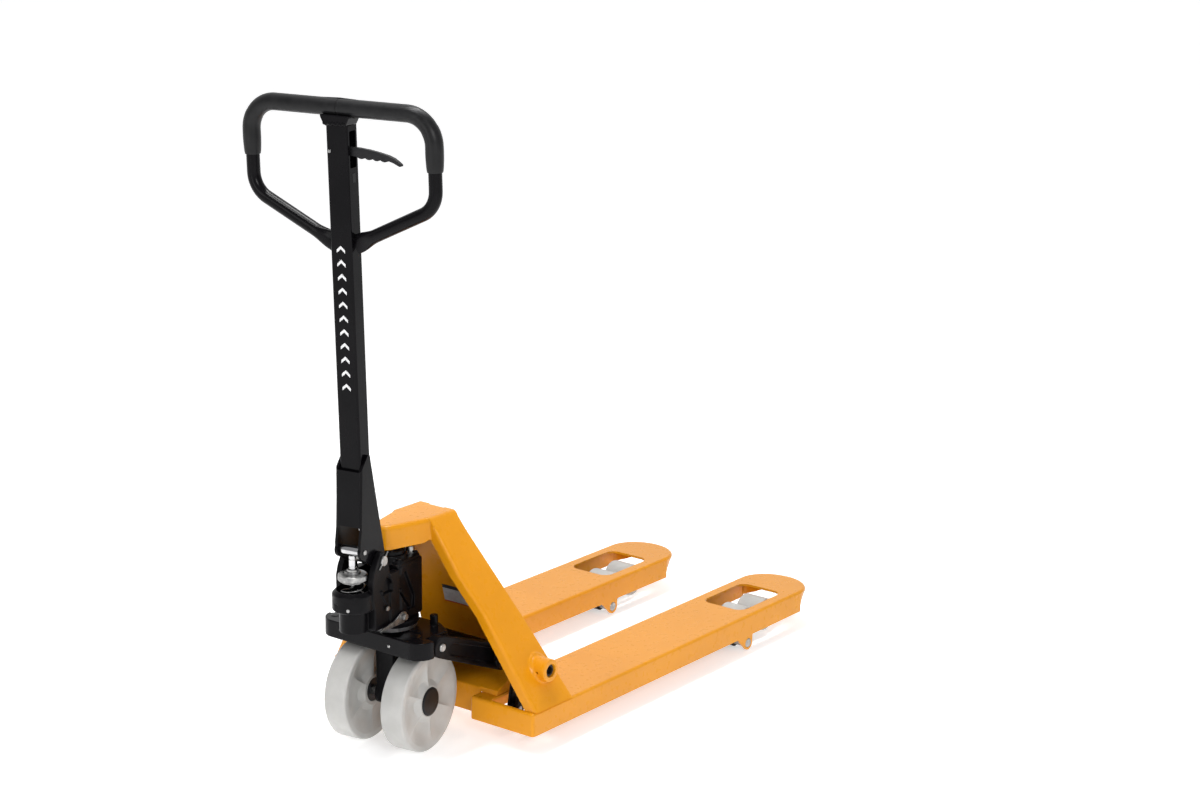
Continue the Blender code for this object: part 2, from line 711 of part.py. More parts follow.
def build_pump_body(steer):
    body = rod("pump_body", (0, 0, BODY_BOTTOM), (0, 0, CYLINDER_TOP), 0.031, steer, 24)
    fuse(body, rod("pump_flange", (0, 0, BODY_BOTTOM), (0, 0, 0.2625), 0.056, steer, 28))
    fuse(body, rod("pump_cup", (PLUNGER_X, 0, CUP_BOTTOM), (PLUNGER_X, 0, CUP_TOP), 0.040, steer, 28))
    fuse(body, rod("pump_neck", (PLUNGER_X, 0, NECK_BOTTOM), (PLUNGER_X, 0, CUP_BOTTOM + 0.002), 0.0265,
                   steer, 28))
    fuse(body, box("pump_web", (PLUNGER_X + 0.02, -0.027, NECK_BOTTOM), (-0.012, 0.027, 0.342), steer))
    ear = [(-0.116, 0.300), (-0.052, 0.300), (-0.062, 0.372)]
    ear += arc((PIVOT_X, PIVOT_Z), 0.0170, 0, 180, 6) + [(-0.1085, 0.360)]
    for side in (-1, 1):
        lug = upright("pump_ear", ear, min(side * 0.0305, side * 0.0425),
                      max(side * 0.0305, side * 0.0425), steer)
        fuse(body, lug)
        foot = box("pump_ear_foot", (-0.112, min(side * 0.02, side * 0.0425), 0.290),
                   (-0.052, max(side * 0.02, side * 0.0425), 0.335), steer)
        fuse(body, foot)
    cut(body, rod("pump_cup_bore", (PLUNGER_X, 0, CUP_BOTTOM + 0.004), (PLUNGER_X, 0, 0.36), 0.0315,
                  steer, 28))
    cut(body, rod("pump_neck_bore", (PLUNGER_X, 0, SPRING_SEAT), (PLUNGER_X, 0, 0.32), 0.0225,
                  steer, 28))
    cut(body, rod("pump_ram_bore", (0, 0, BODY_BOTTOM + 0.0025), (0, 0, 0.42), 0.0145, steer, 20))
    cut(body, rod("pump_pivot_bore", (PIVOT_X, -0.06, PIVOT_Z), (PIVOT_X, 0.06, PIVOT_Z), 0.0103, steer,
                  20))
    body = baked(body)
    paint(body, "cast_black")


def build_reservoir(steer):
    outline = rounded((-0.036, -0.046), (0.052, 0.046), 0.012, 3)
    tank = wall("reservoir", outline, 0.2630, 0.380, steer)
    soften(tank, 0.004, 2, 60)
    tank = baked(tank)
    cut(tank, rod("reservoir_bore", (0, 0, 0.25), (0, 0, 0.40), 0.0314, steer, 24))
    cut(tank, box("reservoir_rear", (-0.06, -0.0275, 0.25), (0.0, 0.0275, 0.3425), steer))
    cut(tank, box("reservoir_relief", (-0.06, -0.06, 0.29), (-0.0285, 0.06, 0.40), steer))
    paint(tank, "cast_black")
    profile = [(0.0, 0.016), (0.0075, 0.016), (0.0085, 0.014), (0.0085, 0.004), (0.011, 0.004),
               (0.011, 0.0), (0.0, 0.0)]
    plug = turned("filler_plug", profile, (0.039, -0.022, 0.380 + GAP), (0, 0, 1), steer, 12, False)
    paint(plug, "zinc")


def build_plunger(steer):
    stem = [(0.0, 0.4180), (0.0068, 0.4180), (0.0072, 0.4172), (0.0072, 0.3270), (0.0, 0.3270)]
    plunger = turned("plunger", stem, (PLUNGER_X, 0, 0), (0, 0, 1), steer, 16, False)
    paint(plunger, "chrome")
    cap = [(0.0110, 0.391), (0.0125, 0.3895), (0.0125, CAP_TOP + 0.001), (0.0268, CAP_TOP),
           (0.0283, CAP_TOP - 0.0015), (0.0283, CAP_BOTTOM), (0.0075, CAP_BOTTOM), (0.0075, 0.391)]
    cap_body = turned("spring_cap", cap, (PLUNGER_X, 0, 0), (0, 0, 1), steer, 24)
    paint(cap_body, "zinc")
    wire, mean, turns, per_turn = 0.0022, 0.0190, 5.5, 10
    low, high = SPRING_SEAT + wire + GAP, CAP_BOTTOM - wire - GAP
    points = []
    total = int(turns * per_turn)
    for i in range(total + 1):
        angle = 2 * math.pi * i / per_turn
        height = low + (high - low) * i / total
        points.append((PLUNGER_X + mean * math.cos(angle), mean * math.sin(angle), height))
    spring = tube_along("plunger_spring", points, wire, steer, 1)
    paint(spring, "zinc")


def build_ram(steer):
    profile = [(0.0, 0.4427), (0.0060, 0.4405), (0.0110, 0.4350), (0.0140, 0.4200),
               (0.0140, 0.2560), (0.0, 0.2560)]
    ram = turned("ram", profile, (0, 0, 0), (0, 0, 1), steer, 20, False)
    paint(ram, "chrome")


def build_release_lever(steer):
    y = -0.0500
    outline = [(-0.112, 0.2705), (-0.106, 0.2665), (-0.030, 0.2640), (-0.020, 0.2720),
               (-0.020, 0.2840), (-0.036, 0.2860), (-0.060, 0.2760)]
    lever = upright("release_lever", outline, y - 0.002, y + 0.002, steer)
    cut(lever, rod("release_lever_eye", (-0.030, y - 0.01, 0.2760), (-0.030, y + 0.01, 0.2760), 0.0043,
                   steer, 12))
    lever = baked(lever)
    origin_at(lever, (-0.030, y, 0.2760))
    paint(lever, "zinc")
    bolt = [(0.0, 0.0120), (0.0040, 0.0120), (0.0075, 0.0100), (0.0075, 0.0062), (0.0040, 0.0062),
            (0.0040, 0.0), (0.0, 0.0)]
    bolt_body = turned("release_bolt", bolt, (-0.030, -0.0463, 0.2760), (0, -1, 0), steer, 12, False)
    paint(bolt_body, "zinc")


def build_yoke(steer):
    """Block under the bearing plate that carries the steering axle."""
    yoke = box("steering_yoke", (-0.0225, -0.0225, 0.074), (0.0225, 0.0225, 0.2075), steer)
    soften(yoke, 0.006, 2, 60)
    yoke = baked(yoke)
    fuse(yoke, rod("yoke_post", (0, 0, 0.195), (0, 0, BODY_BOTTOM - GAP), 0.0318, steer, 24))
    cut(yoke, rod("yoke_bore", (0, -0.05, WHEEL_R), (0, 0.05, WHEEL_R), AXLE_R + GAP, steer, 20))
    yoke = baked(yoke)
    paint(yoke, "cast_black")
    axle = rod("steer_axle", (0, -0.088, WHEEL_R), (0, 0.088, WHEEL_R), AXLE_R, steer, 20)
    paint(axle, "steel")


def build_wheel(side, steer):
    half = WHEEL_WIDTH / 2
    centre = (0.0, side * WHEEL_Y, WHEEL_R)
    dish = half - 0.005
    profile = [(WHEEL_R - 0.004, half), (WHEEL_R, half - 0.005), (WHEEL_R, 0.005 - half),
               (WHEEL_R - 0.004, -half), (0.080, -half), (0.050, -dish), (0.0240, -half),
               (0.0240, half), (0.050, dish), (0.080, half)]
    wheel = turned(side_name("wheel", side), profile, centre, (0, side, 0), steer, 32)
    paint(wheel, "nylon")
    ring = [(0.0237, 0.022), (0.0237, -0.022), (AXLE_R + GAP, -0.022), (AXLE_R + GAP, 0.022)]
    bearing = turned(side_name("wheel_bearing", side), ring, centre, (0, side, 0), steer, 20)
    paint(bearing, "steel")
    cap = [(0.0, 0.0042), (0.026, 0.0036), (0.0290, 0.0014), (0.0290, 0.0), (0.0, 0.0)]
    face = (0.0, side * (WHEEL_Y + half + GAP), WHEEL_R)
    cap_body = turned(side_name("wheel_cap", side), cap, face, (0, side, 0), steer, 24, False)
    paint(cap_body, "cap_plastic")


def build_pump_unit(steer):
    build_pump_body(steer)
    build_reservoir(steer)
    build_plunger(steer)
    build_ram(steer)
    build_release_lever(steer)
    build_yoke(steer)
    for side in (-1, 1):
        build_wheel(side, steer)
    pin = rod("drawbar_pin", (PIVOT_X, -0.0465, PIVOT_Z), (PIVOT_X, 0.0465, PIVOT_Z), AXLE_R, steer, 20)
    paint(pin, "zinc")


# ---------------------------------------------------------------- drawbar

def bracket_outline():
    """Side plate of the drawbar bracket: a wedge with a lobe for the press roller."""
    points = [(-0.134, 0.584), (-0.134, 0.470), (-0.1385, 0.444)]
    points += arc((PRESS_X, PRESS_Z), 0.0155, 150, 262, 5)
    points += arc((PIVOT_X, PIVOT_Z), 0.0175, 240, 350, 5)
    points += [(-0.0590, 0.412), (-0.104, 0.612), (-0.110, 0.613)]
    return points


def build_bracket(steer):
    outline = bracket_outline()
    bracket = upright("drawbar_bracket", outline, -0.0290, -0.0233, steer)
    fuse(bracket, upright("bracket_far", outline, 0.0233, 0.0290, steer))
    fuse(bracket, box("bracket_web", (-0.134, -0.0280, 0.476), (-0.1283, 0.0280, 0.584), steer))
    cut(bracket, rod("bracket_pivot", (PIVOT_X, -0.06, PIVOT_Z), (PIVOT_X, 0.06, PIVOT_Z), 0.0103, steer,
                     20))
    cut(bracket, rod("bracket_axle", (PRESS_X, -0.06, PRESS_Z), (PRESS_X, 0.06, PRESS_Z), 0.0053, steer,
                     12))
    bracket = baked(bracket)
    origin_at(bracket, (PIVOT_X, 0.0, PIVOT_Z))
    paint(bracket, "black_paint")
    ring = [(0.0090, 0.0190), (0.0090, -0.0190), (0.0053, -0.0190), (0.0053, 0.0190)]
    roller = turned("press_roller", ring, (PRESS_X, 0, PRESS_Z), (0, 1, 0), steer, 20)
    paint(roller, "chrome")
    axle = rod("roller_axle", (PRESS_X, -0.0305, PRESS_Z), (PRESS_X, 0.0305, PRESS_Z), 0.0050, steer, 12)
    paint(axle, "zinc")


def tube_frame():
    """Matrix of the leaning drawbar tube: local z runs up its centre line."""
    foot = Vector((TUBE_FOOT[0], 0.0, TUBE_FOOT[1]))
    head = Vector((TUBE_HEAD[0], 0.0, TUBE_HEAD[1]))
    lean = math.atan2(foot.x - head.x, head.z - foot.z)
    return Matrix.Translation(foot) @ Matrix.Rotation(-lean, 4, "Y"), (head - foot).length


def in_tube_frame(obj):
    obj.data.transform(tube_frame()[0])
    return obj


def build_drawbar_tube(steer):
    length = tube_frame()[1]
    half_d, half_w = TUBE_DEPTH / 2, TUBE_WIDTH / 2
    tube = box("drawbar_tube", (-half_d, -half_w, 0), (half_d, half_w, length), steer)
    soften(tube, 0.003, 2, 60)
    tube = baked(tube)
    wall_d, wall_w = half_d - TUBE_WALL, half_w - TUBE_WALL
    bore = box("tube_bore", (-wall_d, -wall_w, -0.02), (wall_d, wall_w, length + 0.02), steer)
    slot_low, slot_high = 0.655, 0.722
    slot = box("tube_slot", (-0.010, -0.03, slot_low), (0.010, -0.01, slot_high), steer)
    pin_height = (LEVER_Z - TUBE_FOOT[1]) * length / (TUBE_HEAD[1] - TUBE_FOOT[1])
    hole = rod("tube_hole", (-0.03, LEVER_Y, pin_height), (0.03, LEVER_Y, pin_height), 0.0033, steer, 12)
    for cutter in (bore, slot, hole):
        cut(tube, cutter)
    tube = baked(tube)
    in_tube_frame(tube)
    origin_at(tube, (PIVOT_X, 0.0, PIVOT_Z))
    paint(tube, "black_paint")
    saddle = box("handle_saddle", (LOOP_X - 0.019, -0.031, 1.2322), (LOOP_X + 0.017, 0.031, 1.2492),
                 steer)
    paint(saddle, "black_paint")
    pin = rod("lever_pin", (-0.0185, LEVER_Y, pin_height), (0.0185, LEVER_Y, pin_height), 0.0030, steer,
              12)
    in_tube_frame(pin)
    paint(pin, "zinc")


def loop_path(y_start, corner_steps=6):
    """Half of the handle loop, from the top bar down to the drawbar tube, for y >= 0."""
    corner_r, lower_r, slope = 0.055, 0.050, 25.5
    corner = (LOOP_HALF_WIDTH - corner_r, LOOP_TOP - corner_r)
    path = [(y_start, LOOP_TOP)] + arc(corner, corner_r, 90, 0, corner_steps)
    lower = (LOOP_HALF_WIDTH - lower_r, 1.128)
    path += arc(lower, lower_r, 0, -(90 - slope), corner_steps)
    last = path[-1]
    end_y = TUBE_WIDTH / 2 + 0.0005
    drop = (last[0] - end_y) * math.tan(math.radians(slope))
    return path, (end_y, last[1] - drop)


def build_handle_loop(steer):
    half, end = loop_path(0.0)
    right = [(-y, z) for y, z in [*half[1:], end]]
    left = [(y, z) for y, z in [*half[1:], end]]
    full = list(reversed(left)) + right
    lean_x = [(LOOP_X + (LOOP_TOP - z) * 0.0405, y, z) for y, z in full]
    loop = tube_along("handle_loop", lean_x, LOOP_TUBE_R, steer, 3)
    for side in (-1, 1):
        clear = box("loop_end", (-0.20, min(side * 0.0, side * (TUBE_WIDTH / 2 + GAP)), 0.95),
                    (-0.05, max(side * 0.0, side * (TUBE_WIDTH / 2 + GAP)), 1.10), steer)
        cut(loop, clear)
    loop = baked(loop)
    origin_at(loop, (PIVOT_X, 0.0, PIVOT_Z))
    paint(loop, "black_paint")


def build_grip(side, steer):
    """Rubber sleeve over the top bar and the corner of the loop."""
    half, _ = loop_path(0.034)
    path = half[:8] + [(LOOP_HALF_WIDTH, 1.163)]
    points = [(LOOP_X + (LOOP_TOP - z) * 0.0405, side * y, z) for y, z in path]
    name = side_name("grip", side)
    grip = tube_along(name, points, LOOP_TUBE_R + GAP, steer, 3, False)
    sleeve = grip.modifiers.new("sleeve", "SOLIDIFY")
    sleeve.thickness = GRIP_R - LOOP_TUBE_R - GAP
    sleeve.offset = 1.0
    grip = baked(grip)
    paint(grip, "rubber")


def build_control_lever(steer):
    """Finger lever: its blade comes out of the tube's slot on the right-hand side."""
    top = [(0.0180, 1.1900), (-0.020, 1.1930), (-0.060, 1.1905), (-0.100, 1.1838)]
    tip = arc((-0.1175, 1.1690), 0.0035, 100, -120, 5)
    scallops = []
    for i in range(4):
        centre = -0.094 + 0.0165 * i
        for step in range(4):
            phase = step / 4
            scallops.append((centre + 0.0165 * (phase - 0.5), 1.1745 - 0.0022 * math.sin(math.pi * phase)))
    outline = top + [(2 * -0.1175 - y, z) for y, z in tip] + scallops + [(0.0180, 1.1780)]
    plate_x = -0.1355
    lever = wall("control_lever", outline, plate_x - 0.0045, plate_x + 0.0045, steer, REAR)
    eye = rod("control_lever_eye", (-0.16, LEVER_Y, LEVER_Z), (-0.11, LEVER_Y, LEVER_Z), 0.0040, steer,
              12)
    cut(lever, eye)
    lever = baked(lever)
    origin_at(lever, (plate_x, LEVER_Y, LEVER_Z))
    paint(lever, "cap_plastic")
    pull = rod("pull_rod", (0, 0, 0.03), (0, 0, 0.660), 0.003, steer, 10)
    in_tube_frame(pull)
    paint(pull, "zinc")


def build_drawbar(steer):
    build_bracket(steer)
    build_drawbar_tube(steer)
    build_handle_loop(steer)
    for side in (-1, 1):
        build_grip(side, steer)
    build_control_lever(steer)


# ---------------------------------------------------------------- whole truck

def main():
    truck = empty("truck", (-BOX_CENTRE_X, 0.0, 0.0))
    steer = empty("steering_axis", (STEER_X, 0.0, 0.0), truck, STEER_ANGLE)
    build_frame(truck)
    build_lifting_gear(truck)
    build_bearing_plate(truck)
    build_pump_unit(steer)
    build_drawbar(steer)


main()
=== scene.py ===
"""Looks of the hand pallet jack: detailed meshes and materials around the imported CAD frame.

The truck's own frame has its origin at the heel of the forks, on the midline, at floor level.
The steered frame has its z axis on the steering axis and turns with the pump unit. Pieces are
modelled in one of the two and then moved into the row frame.
"""
import json
import math

import bmesh
import bpy
from mathutils import Matrix, Vector


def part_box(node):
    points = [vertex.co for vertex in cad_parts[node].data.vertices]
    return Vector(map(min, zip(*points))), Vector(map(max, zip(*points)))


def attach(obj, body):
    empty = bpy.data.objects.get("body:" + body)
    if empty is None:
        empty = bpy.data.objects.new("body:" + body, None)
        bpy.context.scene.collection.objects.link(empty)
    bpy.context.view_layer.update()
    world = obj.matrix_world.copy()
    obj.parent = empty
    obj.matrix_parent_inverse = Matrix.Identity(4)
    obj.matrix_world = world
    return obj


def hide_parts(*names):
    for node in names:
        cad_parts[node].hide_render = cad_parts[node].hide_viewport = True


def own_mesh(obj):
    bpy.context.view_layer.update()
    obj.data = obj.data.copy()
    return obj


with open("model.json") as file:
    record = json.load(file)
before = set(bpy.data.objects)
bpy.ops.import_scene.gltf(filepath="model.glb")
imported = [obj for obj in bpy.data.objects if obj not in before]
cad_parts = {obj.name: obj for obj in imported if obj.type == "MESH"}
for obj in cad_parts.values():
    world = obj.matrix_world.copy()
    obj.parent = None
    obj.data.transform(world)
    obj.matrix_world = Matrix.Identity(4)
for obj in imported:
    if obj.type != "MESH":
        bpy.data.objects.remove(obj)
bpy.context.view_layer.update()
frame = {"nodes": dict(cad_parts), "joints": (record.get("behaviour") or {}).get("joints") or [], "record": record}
scene = bpy.context.scene
JOINTS = {joint["name"]: joint for joint in frame["joints"]}

TRUCK = Matrix.Translation((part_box("fork_right")[0].x, 0.0, 0.0))
SPIN = JOINTS["wheel_right_spin"]["axis"]
STEER_POS = Vector(JOINTS["steering"]["pos_m"])
STEER = (Matrix.Translation((STEER_POS.x, STEER_POS.y, 0.0))
         @ Matrix.Rotation(math.atan2(-SPIN[0], SPIN[1]), 4, "Z"))


def truck_point(joint):
    return TRUCK.inverted() @ Vector(JOINTS[joint]["pos_m"])


def steer_point(joint):
    return STEER.inverted() @ Vector(JOINTS[joint]["pos_m"])


def steer_box(node):
    """Lowest and highest corner of a CAD node in the steered frame."""
    inverse = STEER.inverted()
    points = [inverse @ v.co for v in frame["nodes"][node].data.vertices]
    low = Vector([min(p[i] for p in points) for i in range(3)])
    high = Vector([max(p[i] for p in points) for i in range(3)])
    return low, high


# ---------------------------------------------------------------- materials

def new_material(name, colour, roughness, metallic=0.0):
    material = bpy.data.materials.new(name)
    material.use_nodes = True
    shader = material.node_tree.nodes["Principled BSDF"]
    shader.inputs["Base Color"].default_value = (*colour, 1.0)
    shader.inputs["Roughness"].default_value = roughness
    shader.inputs["Metallic"].default_value = metallic
    material.diffuse_color = (*colour, 1.0)
    return material, shader


def noise(material, scale, detail=3.0, stretch=(1.0, 1.0, 1.0)):
    """A noise value in object space, in metres."""
    nodes, links = material.node_tree.nodes, material.node_tree.links
    place = nodes.new("ShaderNodeTexCoord")
    mapping = nodes.new("ShaderNodeMapping")
    mapping.inputs["Scale"].default_value = stretch
    texture = nodes.new("ShaderNodeTexNoise")
    texture.inputs["Scale"].default_value = scale
    texture.inputs["Detail"].default_value = detail
    links.new(place.outputs["Object"], mapping.inputs["Vector"])
    links.new(mapping.outputs["Vector"], texture.inputs["Vector"])
    return texture.outputs["Fac"]


def remap(material, value, low, high, start=0.3, end=0.7):
    """Spread the middle of a noise value over a range."""
    node = material.node_tree.nodes.new("ShaderNodeMapRange")
    node.inputs["From Min"].default_value = start
    node.inputs["From Max"].default_value = end
    node.inputs["To Min"].default_value = low
    node.inputs["To Max"].default_value = high
    material.node_tree.links.new(value, node.inputs["Value"])
    return node.outputs["Result"]


def tint(material, shader, value, first, second, start=0.35, end=0.65):
    """Base colour that drifts between two colours with a noise value."""
    ramp = material.node_tree.nodes.new("ShaderNodeValToRGB")
    ramp.color_ramp.elements[0].position = start
    ramp.color_ramp.elements[0].color = (*first, 1.0)
    ramp.color_ramp.elements[1].position = end
    ramp.color_ramp.elements[1].color = (*second, 1.0)
    material.node_tree.links.new(value, ramp.inputs["Fac"])
    material.node_tree.links.new(ramp.outputs["Color"], shader.inputs["Base Color"])


def bump(material, shader, layers):
    """Stack bump layers, given as (value, strength, distance)."""
    previous = None
    for value, strength, distance in layers:
        node = material.node_tree.nodes.new("ShaderNodeBump")
        node.inputs["Strength"].default_value = strength
        node.inputs["Distance"].default_value = distance
        material.node_tree.links.new(value, node.inputs["Height"])
        if previous is not None:
            material.node_tree.links.new(previous, node.inputs["Normal"])
        previous = node.outputs["Normal"]
    material.node_tree.links.new(previous, shader.inputs["Normal"])


def rough(material, shader, value, low, high):
    material.node_tree.links.new(remap(material, value, low, high), shader.inputs["Roughness"])


def yellow_paint():
    material, shader = new_material("yellow_paint", (0.73, 0.29, 0.006), 0.30)
    shader.inputs["Specular IOR Level"].default_value = 0.18
    tint(material, shader, noise(material, 7.0, 2.0), (0.705, 0.275, 0.005), (0.745, 0.295, 0.007))
    rough(material, shader, noise(material, 60.0), 0.25, 0.34)
    shader.inputs["Coat Weight"].default_value = 0.16
    shader.inputs["Coat Roughness"].default_value = 0.12
    bump(material, shader, [(noise(material, 30.0, 1.0), 0.02, 0.0010)])
    return material


def black_paint():
    material, shader = new_material("black_paint", (0.008, 0.008, 0.009), 0.26)
    shader.inputs["Specular IOR Level"].default_value = 0.08
    tint(material, shader, noise(material, 9.0, 4.0), (0.0022, 0.0020, 0.0026), (0.0042, 0.0038, 0.0046))
    rough(material, shader, noise(material, 50.0), 0.17, 0.27)
    shader.inputs["Coat Weight"].default_value = 0.05
    shader.inputs["Coat Roughness"].default_value = 0.10
    return material


def cast_black():
    material, shader = new_material("cast_black", (0.008, 0.008, 0.009), 0.42)
    shader.inputs["Specular IOR Level"].default_value = 0.08
    tint(material, shader, noise(material, 30.0, 5.0), (0.0022, 0.0020, 0.0026), (0.0048, 0.0044, 0.0052))
    rough(material, shader, noise(material, 120.0), 0.28, 0.44)
    shader.inputs["Coat Weight"].default_value = 0.05
    shader.inputs["Coat Roughness"].default_value = 0.25
    bump(material, shader, [(noise(material, 230.0, 5.0), 0.30, 0.0012),
                            (noise(material, 60.0, 2.0), 0.20, 0.0016)])
    return material


def rubber():
    material, shader = new_material("rubber", (0.009, 0.009, 0.010), 0.45)
    shader.inputs["Specular IOR Level"].default_value = 0.22
    tint(material, shader, noise(material, 40.0, 4.0), (0.006, 0.006, 0.0065), (0.010, 0.010, 0.0105))
    rough(material, shader, noise(material, 90.0), 0.34, 0.44)
    bump(material, shader, [(noise(material, 900.0, 3.0), 0.08, 0.0004)])
    return material


def cap_plastic():
    material, shader = new_material("cap_plastic", (0.010, 0.010, 0.011), 0.40)
    shader.inputs["Specular IOR Level"].default_value = 0.20
    tint(material, shader, noise(material, 60.0, 3.0), (0.008, 0.008, 0.009), (0.014, 0.014, 0.015))
    rough(material, shader, noise(material, 150.0), 0.34, 0.46)
    bump(material, shader, [(noise(material, 700.0, 2.0), 0.12, 0.0004)])
    return material


def nylon():
    material, shader = new_material("nylon", (0.66, 0.65, 0.62), 0.40)
    tint(material, shader, noise(material, 22.0, 4.0), (0.45, 0.444, 0.425), (0.52, 0.514, 0.494))
    rough(material, shader, noise(material, 80.0), 0.34, 0.48)
    shader.inputs["Subsurface Weight"].default_value = 0.25
    shader.inputs["Subsurface Radius"].default_value = (0.010, 0.009, 0.008)
    shader.inputs["Subsurface Scale"].default_value = 0.6
    bump(material, shader, [(noise(material, 300.0, 3.0), 0.08, 0.0005)])
    return material


def zinc():
    material, shader = new_material("zinc", (0.55, 0.55, 0.54), 0.35, 1.0)
    tint(material, shader, noise(material, 110.0, 4.0), (0.24, 0.24, 0.24), (0.46, 0.455, 0.44))
    rough(material, shader, noise(material, 260.0), 0.26, 0.42)
    bump(material, shader, [(noise(material, 600.0, 3.0), 0.15, 0.0003)])
    return material


def chrome():
    material, shader = new_material("chrome", (0.78, 0.78, 0.79), 0.12, 1.0)
    tint(material, shader, noise(material, 30.0, 2.0), (0.48, 0.48, 0.49), (0.60, 0.60, 0.60))
    rough(material, shader, noise(material, 140.0), 0.09, 0.17)
    return material


def steel():
    material, shader = new_material("steel", (0.45, 0.45, 0.46), 0.38, 1.0)
    tint(material, shader, noise(material, 90.0, 4.0), (0.36, 0.355, 0.35), (0.52, 0.52, 0.525))
    rough(material, shader, noise(material, 200.0), 0.30, 0.48)
    bump(material, shader, [(noise(material, 500.0, 2.0), 0.12, 0.0003)])
    return material


def bronze():
    material, shader = new_material("bronze", (0.45, 0.27, 0.10), 0.40, 1.0)
    tint(material, shader, noise(material, 150.0, 4.0), (0.36, 0.21, 0.08), (0.52, 0.32, 0.13))
    rough(material, shader, noise(material, 300.0), 0.34, 0.50)
    return material


def dark_steel():
    material, shader = new_material("dark_steel", (0.030, 0.029, 0.028), 0.45, 0.6)
    tint(material, shader, noise(material, 120.0, 3.0), (0.018, 0.018, 0.018), (0.045, 0.043, 0.040))
    rough(material, shader, noise(material, 300.0), 0.38, 0.55)
    return material


def label_film():
    """Blank grey film for the label."""
    material, shader = new_material("label_film", (0.55, 0.55, 0.56), 0.35)
    tint(material, shader, noise(material, 120.0, 2.0), (0.50, 0.50, 0.51), (0.60, 0.60, 0.61))
    rough(material, shader, noise(material, 200.0), 0.30, 0.42)
    return material


def plain_film(name, colour):
    material, shader = new_material(name, colour, 0.45)
    darker = tuple(0.88 * c for c in colour)
    tint(material, shader, noise(material, 160.0, 3.0), darker, colour)
    rough(material, shader, noise(material, 300.0), 0.40, 0.52)
    return material


MATERIALS = {
    "yellow_paint": yellow_paint(), "black_paint": black_paint(), "cast_black": cast_black(),
    "rubber": rubber(), "nylon": nylon(), "cap_plastic": cap_plastic(), "zinc": zinc(),
    "chrome": chrome(), "steel": steel(), "bronze": bronze(),
}
DARK_STEEL = dark_steel()
LABEL = label_film()
WHITE_FILM = plain_film("white_film", (0.80, 0.80, 0.80))
RED_FILM = plain_film("red_film", (0.55, 0.02, 0.02))
DARK_FILM = plain_film("dark_film", (0.03, 0.03, 0.035))


# ---------------------------------------------------------------- mesh tools

def link(name, mesh):
    obj = bpy.data.objects.new(name, mesh)
    scene.collection.objects.link(obj)
    return obj


def from_bmesh(name, bm):
    mesh = bpy.data.meshes.new(name)
    bm.to_mesh(mesh)
    bm.free()
    return link(name, mesh)


def applied(obj):
    """Apply the object's modifiers to its mesh."""
    bpy.context.view_layer.update()
    graph = bpy.context.evaluated_depsgraph_get()
    mesh = bpy.data.meshes.new_from_object(obj.evaluated_get(graph))
    obj.modifiers.clear()
    if obj.type == "MESH":
        obj.data = mesh
        return obj
    name = obj.name
    bpy.data.objects.remove(obj, do_unlink=True)
    return link(name, mesh)


def moved(obj, matrix):
    obj.data.transform(matrix)
    if matrix.determinant() < 0:
        obj.data.flip_normals()
    return obj


def copy_of(obj, matrix, name=None):
    return moved(link(name or obj.name, obj.data.copy()), matrix)


MIRROR = Matrix.Diagonal((1, -1, 1, 1))


def block(low, high, name="block"):
    low, high = Vector(low), Vector(high)
    bm = bmesh.new()
    bmesh.ops.create_cube(bm, size=1.0)
    bmesh.ops.scale(bm, vec=high - low, verts=bm.verts)
    bmesh.ops.translate(bm, vec=(low + high) / 2, verts=bm.verts)
    return from_bmesh(name, bm)


def bar(start, end, radius, segments=48, end_radius=None, name="bar"):
    start, end = Vector(start), Vector(end)
    direction = end - start
    bm = bmesh.new()
    bmesh.ops.create_cone(
        bm, cap_ends=True, segments=segments, radius1=radius,
        radius2=radius if end_radius is None else end_radius, depth=direction.length)
    turn = direction.to_track_quat("Z", "Y").to_matrix().to_4x4()
    bmesh.ops.transform(bm, matrix=Matrix.Translation((start + end) / 2) @ turn, verts=bm.verts)
    return from_bmesh(name, bm)


PLAN = Matrix.Identity(4)
SIDE = Matrix(((1, 0, 0, 0), (0, 0, -1, 0), (0, 1, 0, 0), (0, 0, 0, 1)))
REAR = Matrix(((0, 0, 1, 0), (1, 0, 0, 0), (0, 1, 0, 0), (0, 0, 0, 1)))


def slab(outline, low, high, plane=PLAN, name="slab"):
    """A flat outline given thickness between two levels of its plane."""
    bm = bmesh.new()
    face = bm.faces.new([bm.verts.new((a, b, low)) for a, b in outline])
    face.normal_update()
    if face.normal.z > 0:
        face.normal_flip()
    grown = bmesh.ops.extrude_face_region(bm, geom=[face])
    top = [v for v in grown["geom"] if isinstance(v, bmesh.types.BMVert)]
    bmesh.ops.translate(bm, vec=(0, 0, high - low), verts=top)
    bmesh.ops.recalc_face_normals(bm, faces=bm.faces)
    return moved(from_bmesh(name, bm), plane)


def upright(outline, y_low, y_high, name="upright"):
    return slab(outline, -y_high, -y_low, SIDE, name)


def arc(centre, radius, start, end, steps):
    points = []
    for i in range(steps + 1):
        angle = math.radians(start + (end - start) * i / steps)
        points.append((centre[0] + radius * math.cos(angle), centre[1] + radius * math.sin(angle)))
    return points


def rounded(low, high, radius, steps=8):
    (x0, y0), (x1, y1) = low, high
    return (arc((x1 - radius, y1 - radius), radius, 0, 90, steps)
            + arc((x0 + radius, y1 - radius), radius, 90, 180, steps)
            + arc((x0 + radius, y0 + radius), radius, 180, 270, steps)
            + arc((x1 - radius, y0 + radius), radius, 270, 360, steps))


def strap(a, b, radius_a, radius_b, steps=16):
    """Outline of a link: two round eyes joined by straight flanks."""
    a, b = Vector(a), Vector(b)
    heading = math.degrees(math.atan2(b.y - a.y, b.x - a.x))
    return (arc(b, radius_b, heading - 90, heading + 90, steps)
            + arc(a, radius_a, heading + 90, heading + 270, steps))


